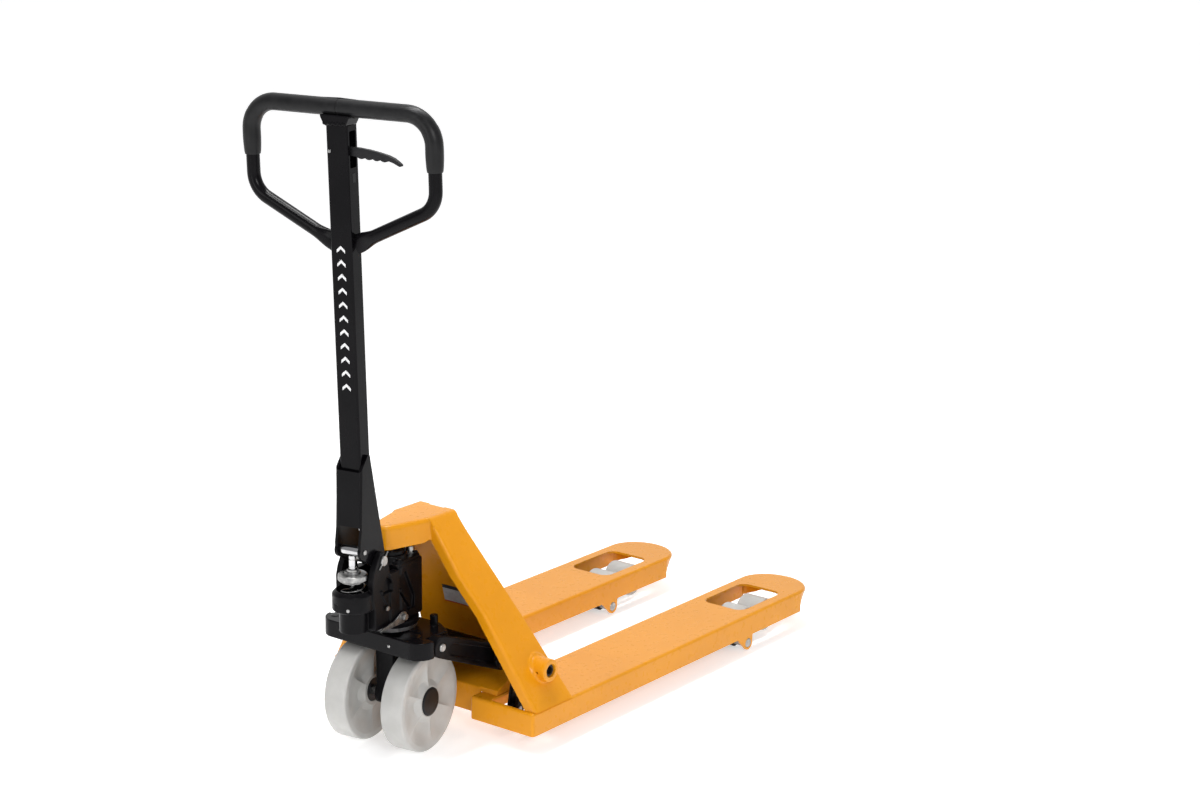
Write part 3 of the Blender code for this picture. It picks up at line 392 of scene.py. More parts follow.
def spun(profile, start, axis, segments=64, closed=True, name="spun"):
    """Turn a profile of (radius, height), which runs down its outer side, about an axis."""
    turn = Vector(axis).to_track_quat("Z", "Y").to_matrix().to_4x4()
    bm = bmesh.new()
    rings = []
    for radius, height in profile:
        if radius < 1e-7:
            rings.append([bm.verts.new((0.0, 0.0, height))])
            continue
        rings.append([bm.verts.new((radius * math.cos(2 * math.pi * i / segments),
                                    radius * math.sin(2 * math.pi * i / segments), height))
                      for i in range(segments)])
    pairs = list(zip(rings, rings[1:])) + ([(rings[-1], rings[0])] if closed else [])
    for upper, lower in pairs:
        for i in range(segments):
            j = (i + 1) % segments
            corners = [upper[i % len(upper)], lower[i % len(lower)], lower[j % len(lower)],
                       upper[j % len(upper)]]
            corners = list(dict.fromkeys(corners))
            if len(corners) > 2:
                bm.faces.new(corners)
    bmesh.ops.recalc_face_normals(bm, faces=bm.faces)
    return moved(from_bmesh(name, bm), Matrix.Translation(start) @ turn)


def pipe(points, radius, sides=24, name="pipe", flatten=None, cyclic=False):
    """A tube through points. flatten(i) gives the two half-axes of ring i, in and across plane."""
    points = [Vector(p) for p in points]
    count = len(points)
    bm = bmesh.new()
    rings = []
    across = Vector((1, 0, 0))
    for i, point in enumerate(points):
        before = points[i - 1] if (i or cyclic) else point
        after = points[(i + 1) % count] if (i < count - 1 or cyclic) else point
        ahead = (after - before).normalized()
        side = (across - ahead * across.dot(ahead))
        if side.length < 0.2:
            side = Vector((0, 0, 1)) - ahead * ahead.z
        side.normalize()
        out = ahead.cross(side)
        half_in, half_across = flatten(i) if flatten else (radius, radius)
        ring = []
        for k in range(sides):
            angle = 2 * math.pi * k / sides
            ring.append(bm.verts.new(point + out * half_in * math.cos(angle)
                                     + side * half_across * math.sin(angle)))
        rings.append(ring)
    loops = list(zip(rings, rings[1:])) + ([(rings[-1], rings[0])] if cyclic else [])
    for first, second in loops:
        for k in range(sides):
            bm.faces.new((first[k], first[(k + 1) % sides], second[(k + 1) % sides], second[k]))
    if not cyclic:
        bm.faces.new(rings[0])
        bm.faces.new(rings[-1])
    bmesh.ops.recalc_face_normals(bm, faces=bm.faces)
    return from_bmesh(name, bm)


def combine(target, tools, operation, solver):
    """Apply each tool in turn; a cut that leaves nothing is made again with the other solver."""
    for other in tools:
        before = target.data.copy()
        for method in (solver, "MANIFOLD"):
            modifier = target.modifiers.new("boolean", "BOOLEAN")
            modifier.operation = operation
            modifier.solver = method
            modifier.object = other
            applied(target)
            if len(target.data.polygons) > 0:
                break
            target.data = before.copy()
        bpy.data.objects.remove(other, do_unlink=True)
    return target


def minus(target, *tools, solver="EXACT"):
    return combine(target, tools, "DIFFERENCE", solver)


def kept(target, *tools, solver="EXACT"):
    return combine(target, tools, "INTERSECT", solver)


def softened(obj, width, segments=3, angle=35):
    modifier = obj.modifiers.new("edges", "BEVEL")
    modifier.width = width
    modifier.segments = segments
    modifier.limit_method = "ANGLE"
    modifier.angle_limit = math.radians(angle)
    modifier.use_clamp_overlap = True
    return applied(obj)


def joined(name, objects):
    """Put several meshes into one object."""
    bm = bmesh.new()
    for obj in objects:
        bm.from_mesh(obj.data)
        bpy.data.objects.remove(obj, do_unlink=True)
    return from_bmesh(name, bm)


def melted(name, solids, voxel, rounds=3, cutters=(), share=0.35):
    """Fuse solids into one skin with small fillets, as in a casting or a weldment."""
    obj = joined(name, solids)
    remesh = obj.modifiers.new("skin", "REMESH")
    remesh.mode = "VOXEL"
    remesh.voxel_size = voxel
    remesh.adaptivity = 0.0
    applied(obj)
    if cutters:
        minus(obj, *cutters)
    smooth = obj.modifiers.new("smooth", "SMOOTH")
    smooth.factor = 0.5
    smooth.iterations = rounds
    applied(obj)
    fewer = obj.modifiers.new("fewer", "DECIMATE")
    fewer.ratio = share
    return applied(obj)


def finished(obj, name, slot, body, nodes=(), space=None, material=None, angle=32, weighted=True):
    """Move a piece into the row frame, shade it, give it its material and set it riding."""
    if space is not None:
        moved(obj, space)
    obj.name = name
    obj.data.name = name
    obj.data.shade_smooth()
    obj.data.set_sharp_from_angle(angle=math.radians(angle))
    if weighted:
        modifier = obj.modifiers.new("normals", "WEIGHTED_NORMAL")
        modifier.keep_sharp = True
        applied(obj)
    obj.data.materials.clear()
    obj.data.materials.append(material or MATERIALS[slot])
    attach(obj, body)
    if nodes:
        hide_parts(*nodes)
    return obj


SIDES = ((-1, "right"), (1, "left"))


# ---------------------------------------------------------------- forks and A-frame

FORK_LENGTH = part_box("fork_right")[1].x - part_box("fork_right")[0].x
FORK_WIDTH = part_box("fork_right")[1].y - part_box("fork_right")[0].y
FORK_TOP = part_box("fork_right")[1].z
FORK_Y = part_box("fork_left")[0].y + FORK_WIDTH / 2
FLANGE_BOTTOM = 0.0377
SHEET = 0.005
TIP_START = 0.936
ARM = truck_point("load_arm_left_swing")
SHAFT = truck_point("lift")
TRUNNION = truck_point("plate_level")


def fork_outline(inset, heel):
    half = FORK_WIDTH / 2 - inset
    nose = FORK_LENGTH - TIP_START - inset
    steps = 40
    points = [(heel, -half), (TIP_START, -half)]
    for i in range(1, steps):
        angle = math.pi * (i / steps - 0.5)
        points.append((TIP_START + nose * math.cos(angle), half * math.sin(angle)))
    return points + [(TIP_START, half), (heel, half)]


def swept_nose(obj, reach):
    """Slope the wall of the tip inwards towards its lower edge."""
    for vertex in obj.data.vertices:
        past = vertex.co.x - TIP_START
        if past > 0.0:
            depth = max(0.0, (FORK_TOP - 0.006 - vertex.co.z) / (FORK_TOP - FLANGE_BOTTOM))
            vertex.co.x -= past * reach * depth
            vertex.co.y -= vertex.co.y * 0.9 * reach * depth * min(1.0, past / 0.03)
    return obj


def fork_shell():
    """One fork about its own centre line: a channel with a rounded, swept-up tip."""
    shell = slab(fork_outline(0.0, 0.0), FLANGE_BOTTOM - 0.01, FORK_TOP)
    shell = softened(shell, 0.0062, 5, 60)
    hollow = slab(fork_outline(SHEET, SHEET), FLANGE_BOTTOM - 0.02, FORK_TOP - SHEET)
    for part in (shell, hollow):
        swept_nose(part, 0.32)
    minus(shell, hollow)
    minus(shell, block((-0.1, -0.2, 0.0), (FORK_LENGTH + 0.1, 0.2, FLANGE_BOTTOM)))
    rise = [(0.9375, 0.0), (0.9375, 0.0440), (1.03, 0.0640), (1.03, 0.0)]
    minus(shell, upright(rise, -0.1, 0.1))
    window = slab(rounded((0.745, -0.053), (0.902, 0.053), 0.022, 12), FORK_TOP - 0.02, FORK_TOP + 0.01)
    minus(shell, window)
    heel = slab(rounded((0.008, -0.035), (0.108, 0.056), 0.008, 6), FORK_TOP - 0.02, FORK_TOP + 0.01)
    minus(shell, heel)
    minus(shell, bar((ARM.x, -0.2, ARM.z), (ARM.x, 0.2, ARM.z), 0.0103, 40))
    return softened(shell, 0.0007, 2, 50)


def pivot_lug():
    """Ear under the flange that holds the load arm's pin."""
    outline = [(ARM.x - 0.046, FLANGE_BOTTOM + 0.010), (ARM.x - 0.036, FLANGE_BOTTOM - 0.002)]
    outline += arc((ARM.x, ARM.z), 0.0155, 212, 360, 20)
    outline += [(ARM.x + 0.0165, FLANGE_BOTTOM + 0.010)]
    half = FORK_WIDTH / 2
    lug = upright(outline, half - 0.0062, half - 0.0005)
    minus(lug, bar((ARM.x, 0.0, ARM.z), (ARM.x, 0.2, ARM.z), 0.0103, 40))
    return softened(lug, 0.0008, 2, 40)


def build_forks():
    shell = fork_shell()
    lug = pivot_lug()
    for side, name in SIDES:
        place = TRUCK @ Matrix.Translation((0, side * FORK_Y, 0))
        flip = Matrix.Identity(4) if side > 0 else MIRROR
        pieces = [copy_of(shell, flip), copy_of(lug, Matrix.Identity(4)), copy_of(lug, MIRROR)]
        finished(joined("fork", pieces), "fork_shell_" + name, "yellow_paint", "frame",
                 ["fork_" + name], place)
        build_arm_pin(side, name)
    for source in (shell, lug):
        bpy.data.objects.remove(source, do_unlink=True)


def build_arm_pin(side, name):
    """Pivot pin with chamfered ends."""
    half = FORK_WIDTH / 2
    profile = [(0.0, half), (0.0086, half), (0.0100, half - 0.0014), (0.0100, 0.0014 - half),
               (0.0086, -half), (0.0, -half)]
    pin = spun(profile, (ARM.x, side * FORK_Y, ARM.z), (0, 1, 0), 48, False)
    finished(pin, "arm_pivot_pin_" + name, "zinc", "frame", ["arm_pin_" + name], TRUCK)


LEG_FOOT = Vector((0.0, 0.264, 0.088))
LEG_HEAD = Vector((0.0, 0.0548, 0.4373))
LEG_SHEET = 0.006
HOOD_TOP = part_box("hood")[1].z
LEG_REAR = [(-0.050, 0.4075), (-0.038, 0.304), (-0.016, 0.2145), (0.008, 0.0), (0.0105, -0.02)]
LEG_FRONT = [(0.1205, -0.02), (0.1205, 0.0), (0.081, 0.183), (0.0245, 0.4065)]


def leg_matrix():
    """Left leg: local x along the truck, y up the slope, z into the sheet."""
    up = (LEG_HEAD - LEG_FOOT).normalized()
    along = Vector((1.0, 0.0, 0.0))
    rows = (along, up, along.cross(up))
    turn = Matrix([[rows[c][r] for c in range(3)] for r in range(3)]).to_4x4()
    return Matrix.Translation(LEG_FOOT) @ turn, (LEG_HEAD - LEG_FOOT).length


def leg_section():
    """Leg sheet with its rear edge folded inwards on a round bend."""
    depth, thick, bend = 0.025, LEG_SHEET, 0.0065
    matrix, length = leg_matrix()
    wide = [(0.30, -0.02), (0.30, length + 0.0005)] + LEG_REAR
    bm = bmesh.new()
    face = bm.faces.new([bm.verts.new((x, t, 0.0)) for x, t in wide])
    grown = bmesh.ops.extrude_face_region(bm, geom=[face])
    top = [v for v in grown["geom"] if isinstance(v, bmesh.types.BMVert)]
    bmesh.ops.translate(bm, vec=(0, 0, depth), verts=top)
    bmesh.ops.recalc_face_normals(bm, faces=bm.faces)
    fold = [e for e in bm.edges
            if all(abs(v.co.z) < 1e-6 and v.co.x < 0.02 for v in e.verts)]
    bmesh.ops.bevel(bm, geom=fold, offset=bend, segments=6, profile=0.5, affect="EDGES")
    leg = from_bmesh("leg", bm)
    inside = [(0.35, -0.03), (0.35, length + 0.05)]
    inside += [(LEG_REAR[0][0] + 0.0055, length + 0.05)]
    inside += [(x + 0.0055, t) for x, t in LEG_REAR[1:-1]] + [(0.0160, -0.03)]
    minus(leg, slab(inside, thick, 0.06))
    front = [(0.40, -0.03), (0.40, 0.60)] + [(LEG_FRONT[-1][0], 0.60)] + LEG_FRONT[::-1] + [(0.1205, -0.03)]
    minus(leg, slab(front, -0.01, 0.06))
    return moved(leg, matrix)


def shoulder_bend():
    """Round bend between the hood's top and the left leg."""
    radius = 0.011
    slope = math.degrees(math.atan2(LEG_FOOT.y - LEG_HEAD.y, LEG_HEAD.z - LEG_FOOT.z))
    turn = 90.0 - slope
    tangent = radius * math.tan(math.radians(turn) / 2)
    fold_y = LEG_HEAD.y - (HOOD_TOP - LEG_HEAD.z) * math.tan(math.radians(slope))
    centre = (fold_y - tangent, HOOD_TOP - radius)
    outer = arc(centre, radius, 90, 90 - turn, 10)
    inner = arc(centre, radius - LEG_SHEET, 90 - turn, 90, 10)
    top = [(0.020, HOOD_TOP - LEG_SHEET), (0.020, HOOD_TOP)]
    down = Vector((math.sin(math.radians(slope)), -math.cos(math.radians(slope)))) * 0.012
    lower = [(outer[-1][0] + down.x, outer[-1][1] + down.y), (inner[0][0] + down.x, inner[0][1] + down.y)]
    return slab(top + outer + lower + inner, -0.0500, 0.0262, REAR)


def hood_outline(inset):
    half, nose, front = 0.047 - inset, 0.026 - inset, 0.028 - inset
    return ([(front, half), (-0.050, half)] + arc((-0.124, 0.0), nose, 115, 245, 24)
            + [(-0.050, -half), (front, -half)])


def hood_cap():
    """Top of the A-frame with its skirt around the nose."""
    low = 0.402
    cap = softened(slab(hood_outline(0.0), low - 0.02, HOOD_TOP), 0.0085, 5, 50)
    minus(cap, slab(hood_outline(0.005), low - 0.05, HOOD_TOP - LEG_SHEET))
    skirt = [(-0.20, 0.30), (-0.20, low), (-0.062, low), (-0.048, 0.4075), (-0.043, 0.4235), (0.10, 0.4235),
             (0.10, 0.30)]
    minus(cap, upright(skirt, -0.1, 0.1))
    return cap


def weld_ring(points, radius=0.0028):
    return pipe(points, radius, 12, "bead", cyclic=True)


def build_a_frame():
    lean = (LEG_FOOT.y - LEG_HEAD.y) / (LEG_HEAD.z - LEG_FOOT.z)
    solids = [hood_cap()]
    for flip in (Matrix.Identity(4), MIRROR):
        leg = moved(leg_section(), flip)
        bend = moved(shoulder_bend(), flip)
        boss = moved(bar((SHAFT.x, 0.214, SHAFT.z), (SHAFT.x, 0.2538, SHAFT.z), 0.0228, 64), flip)
        ring = []
        for i in range(48):
            angle = 2 * math.pi * i / 48
            x = SHAFT.x + 0.0240 * math.cos(angle)
            z = SHAFT.z + 0.0240 * math.sin(angle)
            ring.append((x, LEG_FOOT.y - (z - LEG_FOOT.z) * lean, z))
        solids += [leg, bend, boss, moved(weld_ring(ring, 0.0034), flip)]
    cutters = [block((-0.3, -0.4, -0.1), (0.4, 0.4, FORK_TOP + 0.0002))]
    for flip in (1, -1):
        cutters.append(bar((SHAFT.x, flip * 0.18, SHAFT.z), (SHAFT.x, flip * 0.30, SHAFT.z), 0.0127, 48))
        cutters.append(bar((0.02, flip * 0.237, SHAFT.z - 0.002), (SHAFT.x, flip * 0.237, SHAFT.z - 0.002),
                           0.0022, 16))
    frame_head = melted("a_frame", solids, 0.0016, 4, cutters, 0.30)
    finished(frame_head, "a_frame", "yellow_paint", "frame", ["leg_right", "leg_left", "hood"], TRUCK)


def apron_x(y, z):
    """Rear face of the curved panel between the legs."""
    rise, half, lean = 0.050, 0.215, -0.27
    radius = (half ** 2 + rise ** 2) / (2 * rise)
    middle = 0.313
    return 0.0675 - radius + math.sqrt((radius - 0.003) ** 2 - y * y) + lean * (z - middle)


def leg_reach(z):
    """Half width of the apron where it meets the sloping legs."""
    return LEG_FOOT.y - (z - LEG_FOOT.z) * (LEG_FOOT.y - LEG_HEAD.y) / (LEG_HEAD.z - LEG_FOOT.z) - 0.0078


def curved_sheet(low, high, width, thick=0.003):
    """Sheet that follows the apron's curve from low to high, with its half width given by height."""
    columns, rows = 48, 12
    bm = bmesh.new()
    grids = []
    for layer in range(2):
        grid = []
        for r in range(rows + 1):
            z = low + (high - low) * r / rows
            half = width(z)
            line = []
            for c in range(columns + 1):
                y = half * (2 * c / columns - 1)
                line.append(bm.verts.new((apron_x(y, z) + thick * layer, y, z)))
            grid.append(line)
        grids.append(grid)
    for layer, grid in enumerate(grids):
        for r in range(rows):
            for c in range(columns):
                bm.faces.new((grid[r][c], grid[r][c + 1], grid[r + 1][c + 1], grid[r + 1][c]))
    back, front = grids
    for r in range(rows):
        for c in (0, columns):
            bm.faces.new((back[r][c], back[r + 1][c], front[r + 1][c], front[r][c]))
    for c in range(columns):
        for r in (0, rows):
            bm.faces.new((back[r][c], back[r][c + 1], front[r][c + 1], front[r][c]))
    bmesh.ops.recalc_face_normals(bm, faces=bm.faces)
    return from_bmesh("sheet", bm)


def build_apron():
    """Curved panel between the legs, with a blank label on its rear face."""
    low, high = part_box("back_panel")[0].z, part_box("back_panel")[1].z
    finished(curved_sheet(low, high, leg_reach), "apron", "yellow_paint", "frame", ["back_panel"], TRUCK)
    bands = (("label_head", 0.2592, 0.2665, DARK_FILM), ("label_field", 0.2312, 0.2590, LABEL),
             ("label_line", 0.2287, 0.2307, RED_FILM))
    for name, bottom, top, material in bands:
        build_label_band(name, bottom, top, material)


def build_label_band(name, bottom, top, material):
    """Thin strip of film that follows the panel, from y_near to y_far."""
    y_near, y_far, columns = 0.034, -0.050, 16
    bm = bmesh.new()
    lines = []
    for z in (bottom, top):
        for stand in (0.0005, 0.0001):
            line = []
            for c in range(columns + 1):
                y = y_near + (y_far - y_near) * c / columns
                line.append(bm.verts.new((apron_x(y, z) - stand, y, z)))
            lines.append(line)
    low_out, low_in, high_out, high_in = lines
    ring = (low_out, high_out, high_in, low_in)
    for first, second in zip(ring, ring[1:] + ring[:1]):
        for c in range(columns):
            bm.faces.new((first[c], first[c + 1], second[c + 1], second[c]))
    for c in (0, columns):
        bm.faces.new([line[c] for line in ring])
    bmesh.ops.recalc_face_normals(bm, faces=bm.faces)
    finished(from_bmesh(name, bm), name, None, "frame", (), TRUCK, material)


def build_cross_shaft():
    """Hollow shaft whose ends sit just inside the bosses."""
    half, bore = 0.2500, 0.0085
    profile = [(0.0114, half), (0.0122, half - 0.0010), (0.0122, 0.0010 - half), (0.0114, -half),
               (bore, -half), (bore, half)]
    shaft = spun(profile, (SHAFT.x, 0, SHAFT.z), (0, 1, 0), 48)
    finished(shaft, "cross_shaft_tube", "steel", "frame", ["cross_shaft"], TRUCK, DARK_STEEL)


def build_cross_member():
    """Folded angle between the fork heels."""
    inner = FORK_Y - FORK_WIDTH / 2 - 0.0003
    web = [(0.030, FLANGE_BOTTOM), (0.060, FLANGE_BOTTOM), (0.060, FLANGE_BOTTOM + 0.005),
           (0.0385, FLANGE_BOTTOM + 0.005)]
    web += arc((0.0385, FLANGE_BOTTOM + 0.0085), 0.0035, 270, 180, 6)
    web += [(0.035, 0.0900), (0.1040, 0.1195), (0.1040, 0.1250)]
    web += arc((0.0345, 0.0905), 0.0045, 113, 180, 6)
    member = softened(upright(web, -inner, inner), 0.0012, 3, 50)
    ends = [member]
    wedge = [(0.030, FORK_TOP + 0.0003), (0.1040, FORK_TOP + 0.0003), (0.1040, 0.1250), (0.0325, 0.0946)]
    for side in (-1, 1):
        near, far = sorted((side * (inner - 0.004), side * 0.1475))
        ends.append(softened(upright(wedge, near, far), 0.0012, 3, 50))
    finished(joined("member", ends), "heel_angle", "yellow_paint", "frame", ["cross_member"], TRUCK)
    finished(curved_sheet(0.116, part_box("back_panel")[0].z, lambda z: inner, 0.0060), "apron_foot",
             "yellow_paint", "frame", ["panel_foot"], TRUCK)


# ---------------------------------------------------------------- wheels and rollers

WHEEL_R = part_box("wheel_right")[1].z / 2
WHEEL_HALF = 0.025
WHEEL_Y = 0.065


def wheel_face(radius, angle):
    """Depth of the wheel face below its rim: six scooped pockets with sharp ribs between them."""
    rim, hub = 0.0880, 0.0310
    if radius >= rim or radius <= hub:
        return 0.0
    across = min(1.0, (rim - radius) / 0.026) * min(1.0, (radius - hub) / 0.012) ** 0.8
    place = (angle / (2 * math.pi) * 6 + 0.42) % 1.0
    pocket = math.sin(math.pi * place ** 0.75) ** 0.8
    return across * (0.0022 + 0.0078 * pocket)


def wheel_mesh():
    """Cast nylon wheel with a round tread edge, ribbed faces and a bearing seat."""
    segments = 180
    steps = [0.0240, 0.0262, 0.0310, 0.0330, 0.0360, 0.0400, 0.0430, 0.0480, 0.0540, 0.0600, 0.0660,
             0.0720, 0.0760, 0.0800, 0.0840, 0.0870, 0.0880, 0.0890, 0.0920, 0.0945]
    shoulder = [(0.0955 + 0.0045 * math.sin(math.radians(a)),
                 WHEEL_HALF - 0.0045 * (1 - math.cos(math.radians(a)))) for a in (0, 15, 30, 45, 60, 75, 90)]
    bm = bmesh.new()
    rings = []
    for i in range(segments):
        angle = 2 * math.pi * i / segments
        outline = [(r, WHEEL_HALF - wheel_face(r, angle)) for r in steps] + shoulder
        outline += [(r, -h) for r, h in reversed(shoulder)]
        outline += [(r, wheel_face(r, angle) - WHEEL_HALF) for r in reversed(steps)]
        rings.append([bm.verts.new((r * math.cos(angle), r * math.sin(angle), h)) for r, h in outline])
    count = len(rings[0])
    for i in range(segments):
        first, second = rings[i], rings[(i + 1) % segments]
        for k in range(count):
            n = (k + 1) % count
            bm.faces.new((first[k], first[n], second[n], second[k]))
    bmesh.ops.recalc_face_normals(bm, faces=bm.faces)
    return from_bmesh("wheel", bm)


def build_wheels():
    wheel = wheel_mesh()
    for side, name in SIDES:
        centre = Vector((0.0, side * WHEEL_Y, WHEEL_R))
        turn = Vector((0, side, 0)).to_track_quat("Z", "Y").to_matrix().to_4x4()
        body = "wheel_" + name
        piece = copy_of(wheel, Matrix.Translation(centre) @ turn)
        finished(piece, "nylon_wheel_" + name, "nylon", body, ["wheel_" + name], STEER, angle=28)
        build_bearing(side, name, centre, body)
        cap = [(0.0, 0.0040), (0.0150, 0.0040), (0.0160, 0.0034), (0.0235, 0.0034), (0.0262, 0.0030),
               (0.0280, 0.0018), (0.0286, 0.0), (0.0, 0.0)]
        face = centre + Vector((0, side * (WHEEL_HALF + 0.0003), 0))
        finished(spun(cap, face, (0, side, 0), 64, False), "hub_cap_" + name, "cap_plastic", body,
                 ["wheel_cap_" + name], STEER)
    bpy.data.objects.remove(wheel, do_unlink=True)


def build_bearing(side, name, centre, body):
    """Ball bearing: outer ring, dark shield and inner ring in one turned piece."""
    face = 0.0225
    outer, inner = 0.0236, 0.0103
    profile = [(outer, face - 0.0008), (outer, 0.0008 - face), (outer - 0.0008, -face),
               (0.0200, -face), (0.0198, 0.0012 - face), (0.0145, 0.0012 - face), (0.0143, -face),
               (inner, -face), (inner, face), (0.0143, face), (0.0145, face - 0.0012),
               (0.0198, face - 0.0012), (0.0200, face), (outer - 0.0008, face)]
    finished(spun(profile, centre, (0, side, 0), 64), "ball_bearing_" + name, None, body,
             ["wheel_bearing_" + name], STEER, DARK_STEEL)
    seal = [(0.0232, 0.0), (0.0110, 0.0), (0.0110, 0.0012), (0.0226, 0.0012), (0.0232, 0.0006)]
    finished(spun(seal, centre - Vector((0, side * 0.0227, 0)), (0, -side, 0), 56), "bearing_seal_" + name,
             "cap_plastic", body, (), STEER)


def build_load_rollers():
    radius, half = 0.036, 0.029
    profile = [(radius - 0.0026, half), (radius - 0.0008, half - 0.0008), (radius, half - 0.0026),
               (radius, 0.0026 - half), (radius - 0.0008, 0.0008 - half), (radius - 0.0026, -half),
               (0.0240, -half), (0.0215, 0.0020 - half), (0.0110, 0.0020 - half), (0.0100, -half),
               (0.0064, -half), (0.0064, half), (0.0100, half), (0.0110, half - 0.0020),
               (0.0215, half - 0.0020), (0.0240, half)]
    for _, name in SIDES:
        for place in ("rear", "front"):
            node = "load_roller_" + place + "_" + name
            low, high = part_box(node)
            finished(spun(profile, (low + high) / 2, (0, 1, 0), 72), "fork_roller_" + place + "_" + name,
                     "nylon", node, [node])


def build_bogies():
    """Side plates with round ends, tied by the two roller axles."""
    for _, name in SIDES:
        low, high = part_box("bogie_" + name)
        middle, reach = (low + high) / 2, (high.x - low.x) / 2 - 0.011
        ends = [(middle.x - reach, middle.z), (middle.x + reach, middle.z)]
        solids = []
        for edge in (-1, 1):
            inner, outer = middle.y + edge * 0.0335, middle.y + edge * 0.0385
            plate = upright(strap(*ends, 0.011, 0.011), min(inner, outer), max(inner, outer))
            minus(plate, bar((middle.x, middle.y - 0.05, middle.z), (middle.x, middle.y + 0.05, middle.z),
                             0.0073, 32))
            solids.append(softened(plate, 0.0006, 2, 40))
        for x, z in ends:
            solids.append(bar((x, middle.y - 0.0388, z), (x, middle.y + 0.0388, z), 0.006, 32))
        finished(joined("bogie", solids), "roller_bogie_" + name, "zinc", "bogie_" + name, ["bogie_" + name])


def build_load_arms():
    """Forged arm: tube on the pin, two cheeks to the rollers and a crank for the push rod."""
    crank_length, swing = 0.0413, math.radians(37)
    for side, name in SIDES:
        y = side * FORK_Y
        pivot, tip = (ARM.x, ARM.z), (ARM.x + 0.1034, 0.036)
        crank_end = (ARM.x - crank_length * math.sin(swing), ARM.z + crank_length * math.cos(swing))
        solids = [bar((ARM.x, y - 0.046, ARM.z), (ARM.x, y + 0.046, ARM.z), 0.0150, 48),
                  bar((crank_end[0], y - 0.0098, crank_end[1]), (crank_end[0], y + 0.0098, crank_end[1]),
                      0.005, 24)]
        for edge in (-1, 1):
            spans = ((0.0402, 0.0458, strap(pivot, tip, 0.0146, 0.0123)),
                     (0.0064, 0.0120, strap(pivot, crank_end, 0.0128, 0.0093)))
            for near, far, outline in spans:
                inner, outer = y + edge * near, y + edge * far
                solids.append(upright(outline, min(inner, outer), max(inner, outer)))
            solids.append(bar((tip[0], y + edge * 0.0345, tip[1]), (tip[0], y + edge * 0.0440, tip[1]),
                              0.0068, 24))
        bore = bar((ARM.x, y - 0.06, ARM.z), (ARM.x, y + 0.06, ARM.z), 0.0103, 40)
        arm = melted("load_arm", solids, 0.0011, 2, [bore], 0.30)
        finished(arm, "forged_arm_" + name, "black_paint", "load_arm_" + name, ["load_arm_" + name], TRUCK)


# ---------------------------------------------------------------- rocker and bearing plate

def build_rocker():
    """Lifting rocker: a tube on the cross shaft with two long arms and the push-rod lugs."""
    crank, swing = 0.088, math.radians(16.425)
    shaft, eye = (SHAFT.x, SHAFT.z), (TRUNNION.x, TRUNNION.z)
    rod_rear = (SHAFT.x - crank * math.sin(swing), SHAFT.z - crank * math.cos(swing))
    solids = [bar((SHAFT.x, -0.1975, SHAFT.z), (SHAFT.x, 0.1975, SHAFT.z), 0.0238, 56)]
    tie = [(-0.055, 0.176), (0.050, 0.134), (0.058, 0.152), (-0.048, 0.1945)]
    web = minus(upright(tie, -0.112, 0.112), bar((TRUNNION.x, 0, 0.08), (TRUNNION.x, 0, 0.27), 0.1275, 96))
    solids.append(web)
    along = (Vector(shaft) - Vector(eye)).normalized()
    for side in (-1, 1):
        near, far = side * 0.1102, side * 0.1343
        arm = upright(strap(shaft, eye, 0.0263, 0.0213), min(near, far), max(near, far))
        start, end = Vector(eye) + along * 0.034, Vector(shaft) - along * 0.036
        pocket = upright(strap(start, end, 0.0125, 0.0150), min(side * 0.1300, side * 0.16),
                         max(side * 0.1300, side * 0.16))
        solids.append(minus(arm, pocket))
        for offset in (-0.0095, 0.0095):
            y = side * FORK_Y + offset
            solids.append(upright(strap(shaft, rod_rear, 0.0178, 0.0113), y - 0.0029, y + 0.0029))
    cutters = [bar((SHAFT.x, -0.21, SHAFT.z), (SHAFT.x, 0.21, SHAFT.z), 0.0153, 40)]
    for side in (-1, 1):
        cutters.append(bar((TRUNNION.x, side * 0.10, TRUNNION.z), (TRUNNION.x, side * 0.15, TRUNNION.z),
                           0.0083, 32))
        cutters.append(bar((rod_rear[0], side * 0.165, rod_rear[1]),
                           (rod_rear[0], side * 0.205, rod_rear[1]), 0.0053, 24))
    rocker = melted("rocker", solids, 0.0015, 3, cutters, 0.30)
    finished(rocker, "cast_rocker", "cast_black", "rocker", ["rocker"], TRUCK)


def chamfered_pin(start, end, radius, chamfer, segments=40):
    start, end = Vector(start), Vector(end)
    length = (end - start).length
    profile = [(0.0, length), (radius - chamfer, length), (radius, length - chamfer), (radius, chamfer),
               (radius - chamfer, 0.0), (0.0, 0.0)]
    return spun(profile, start, end - start, segments, False, "pin")


def build_trunnion_pins():
    for side, name in SIDES:
        pin = chamfered_pin((TRUNNION.x, side * 0.0857, TRUNNION.z),
                            (TRUNNION.x, side * 0.1362, TRUNNION.z), 0.008, 0.0011)
        finished(pin, "trunnion_" + name, "zinc", "bearing_plate", ["trunnion_pin_" + name], TRUCK)


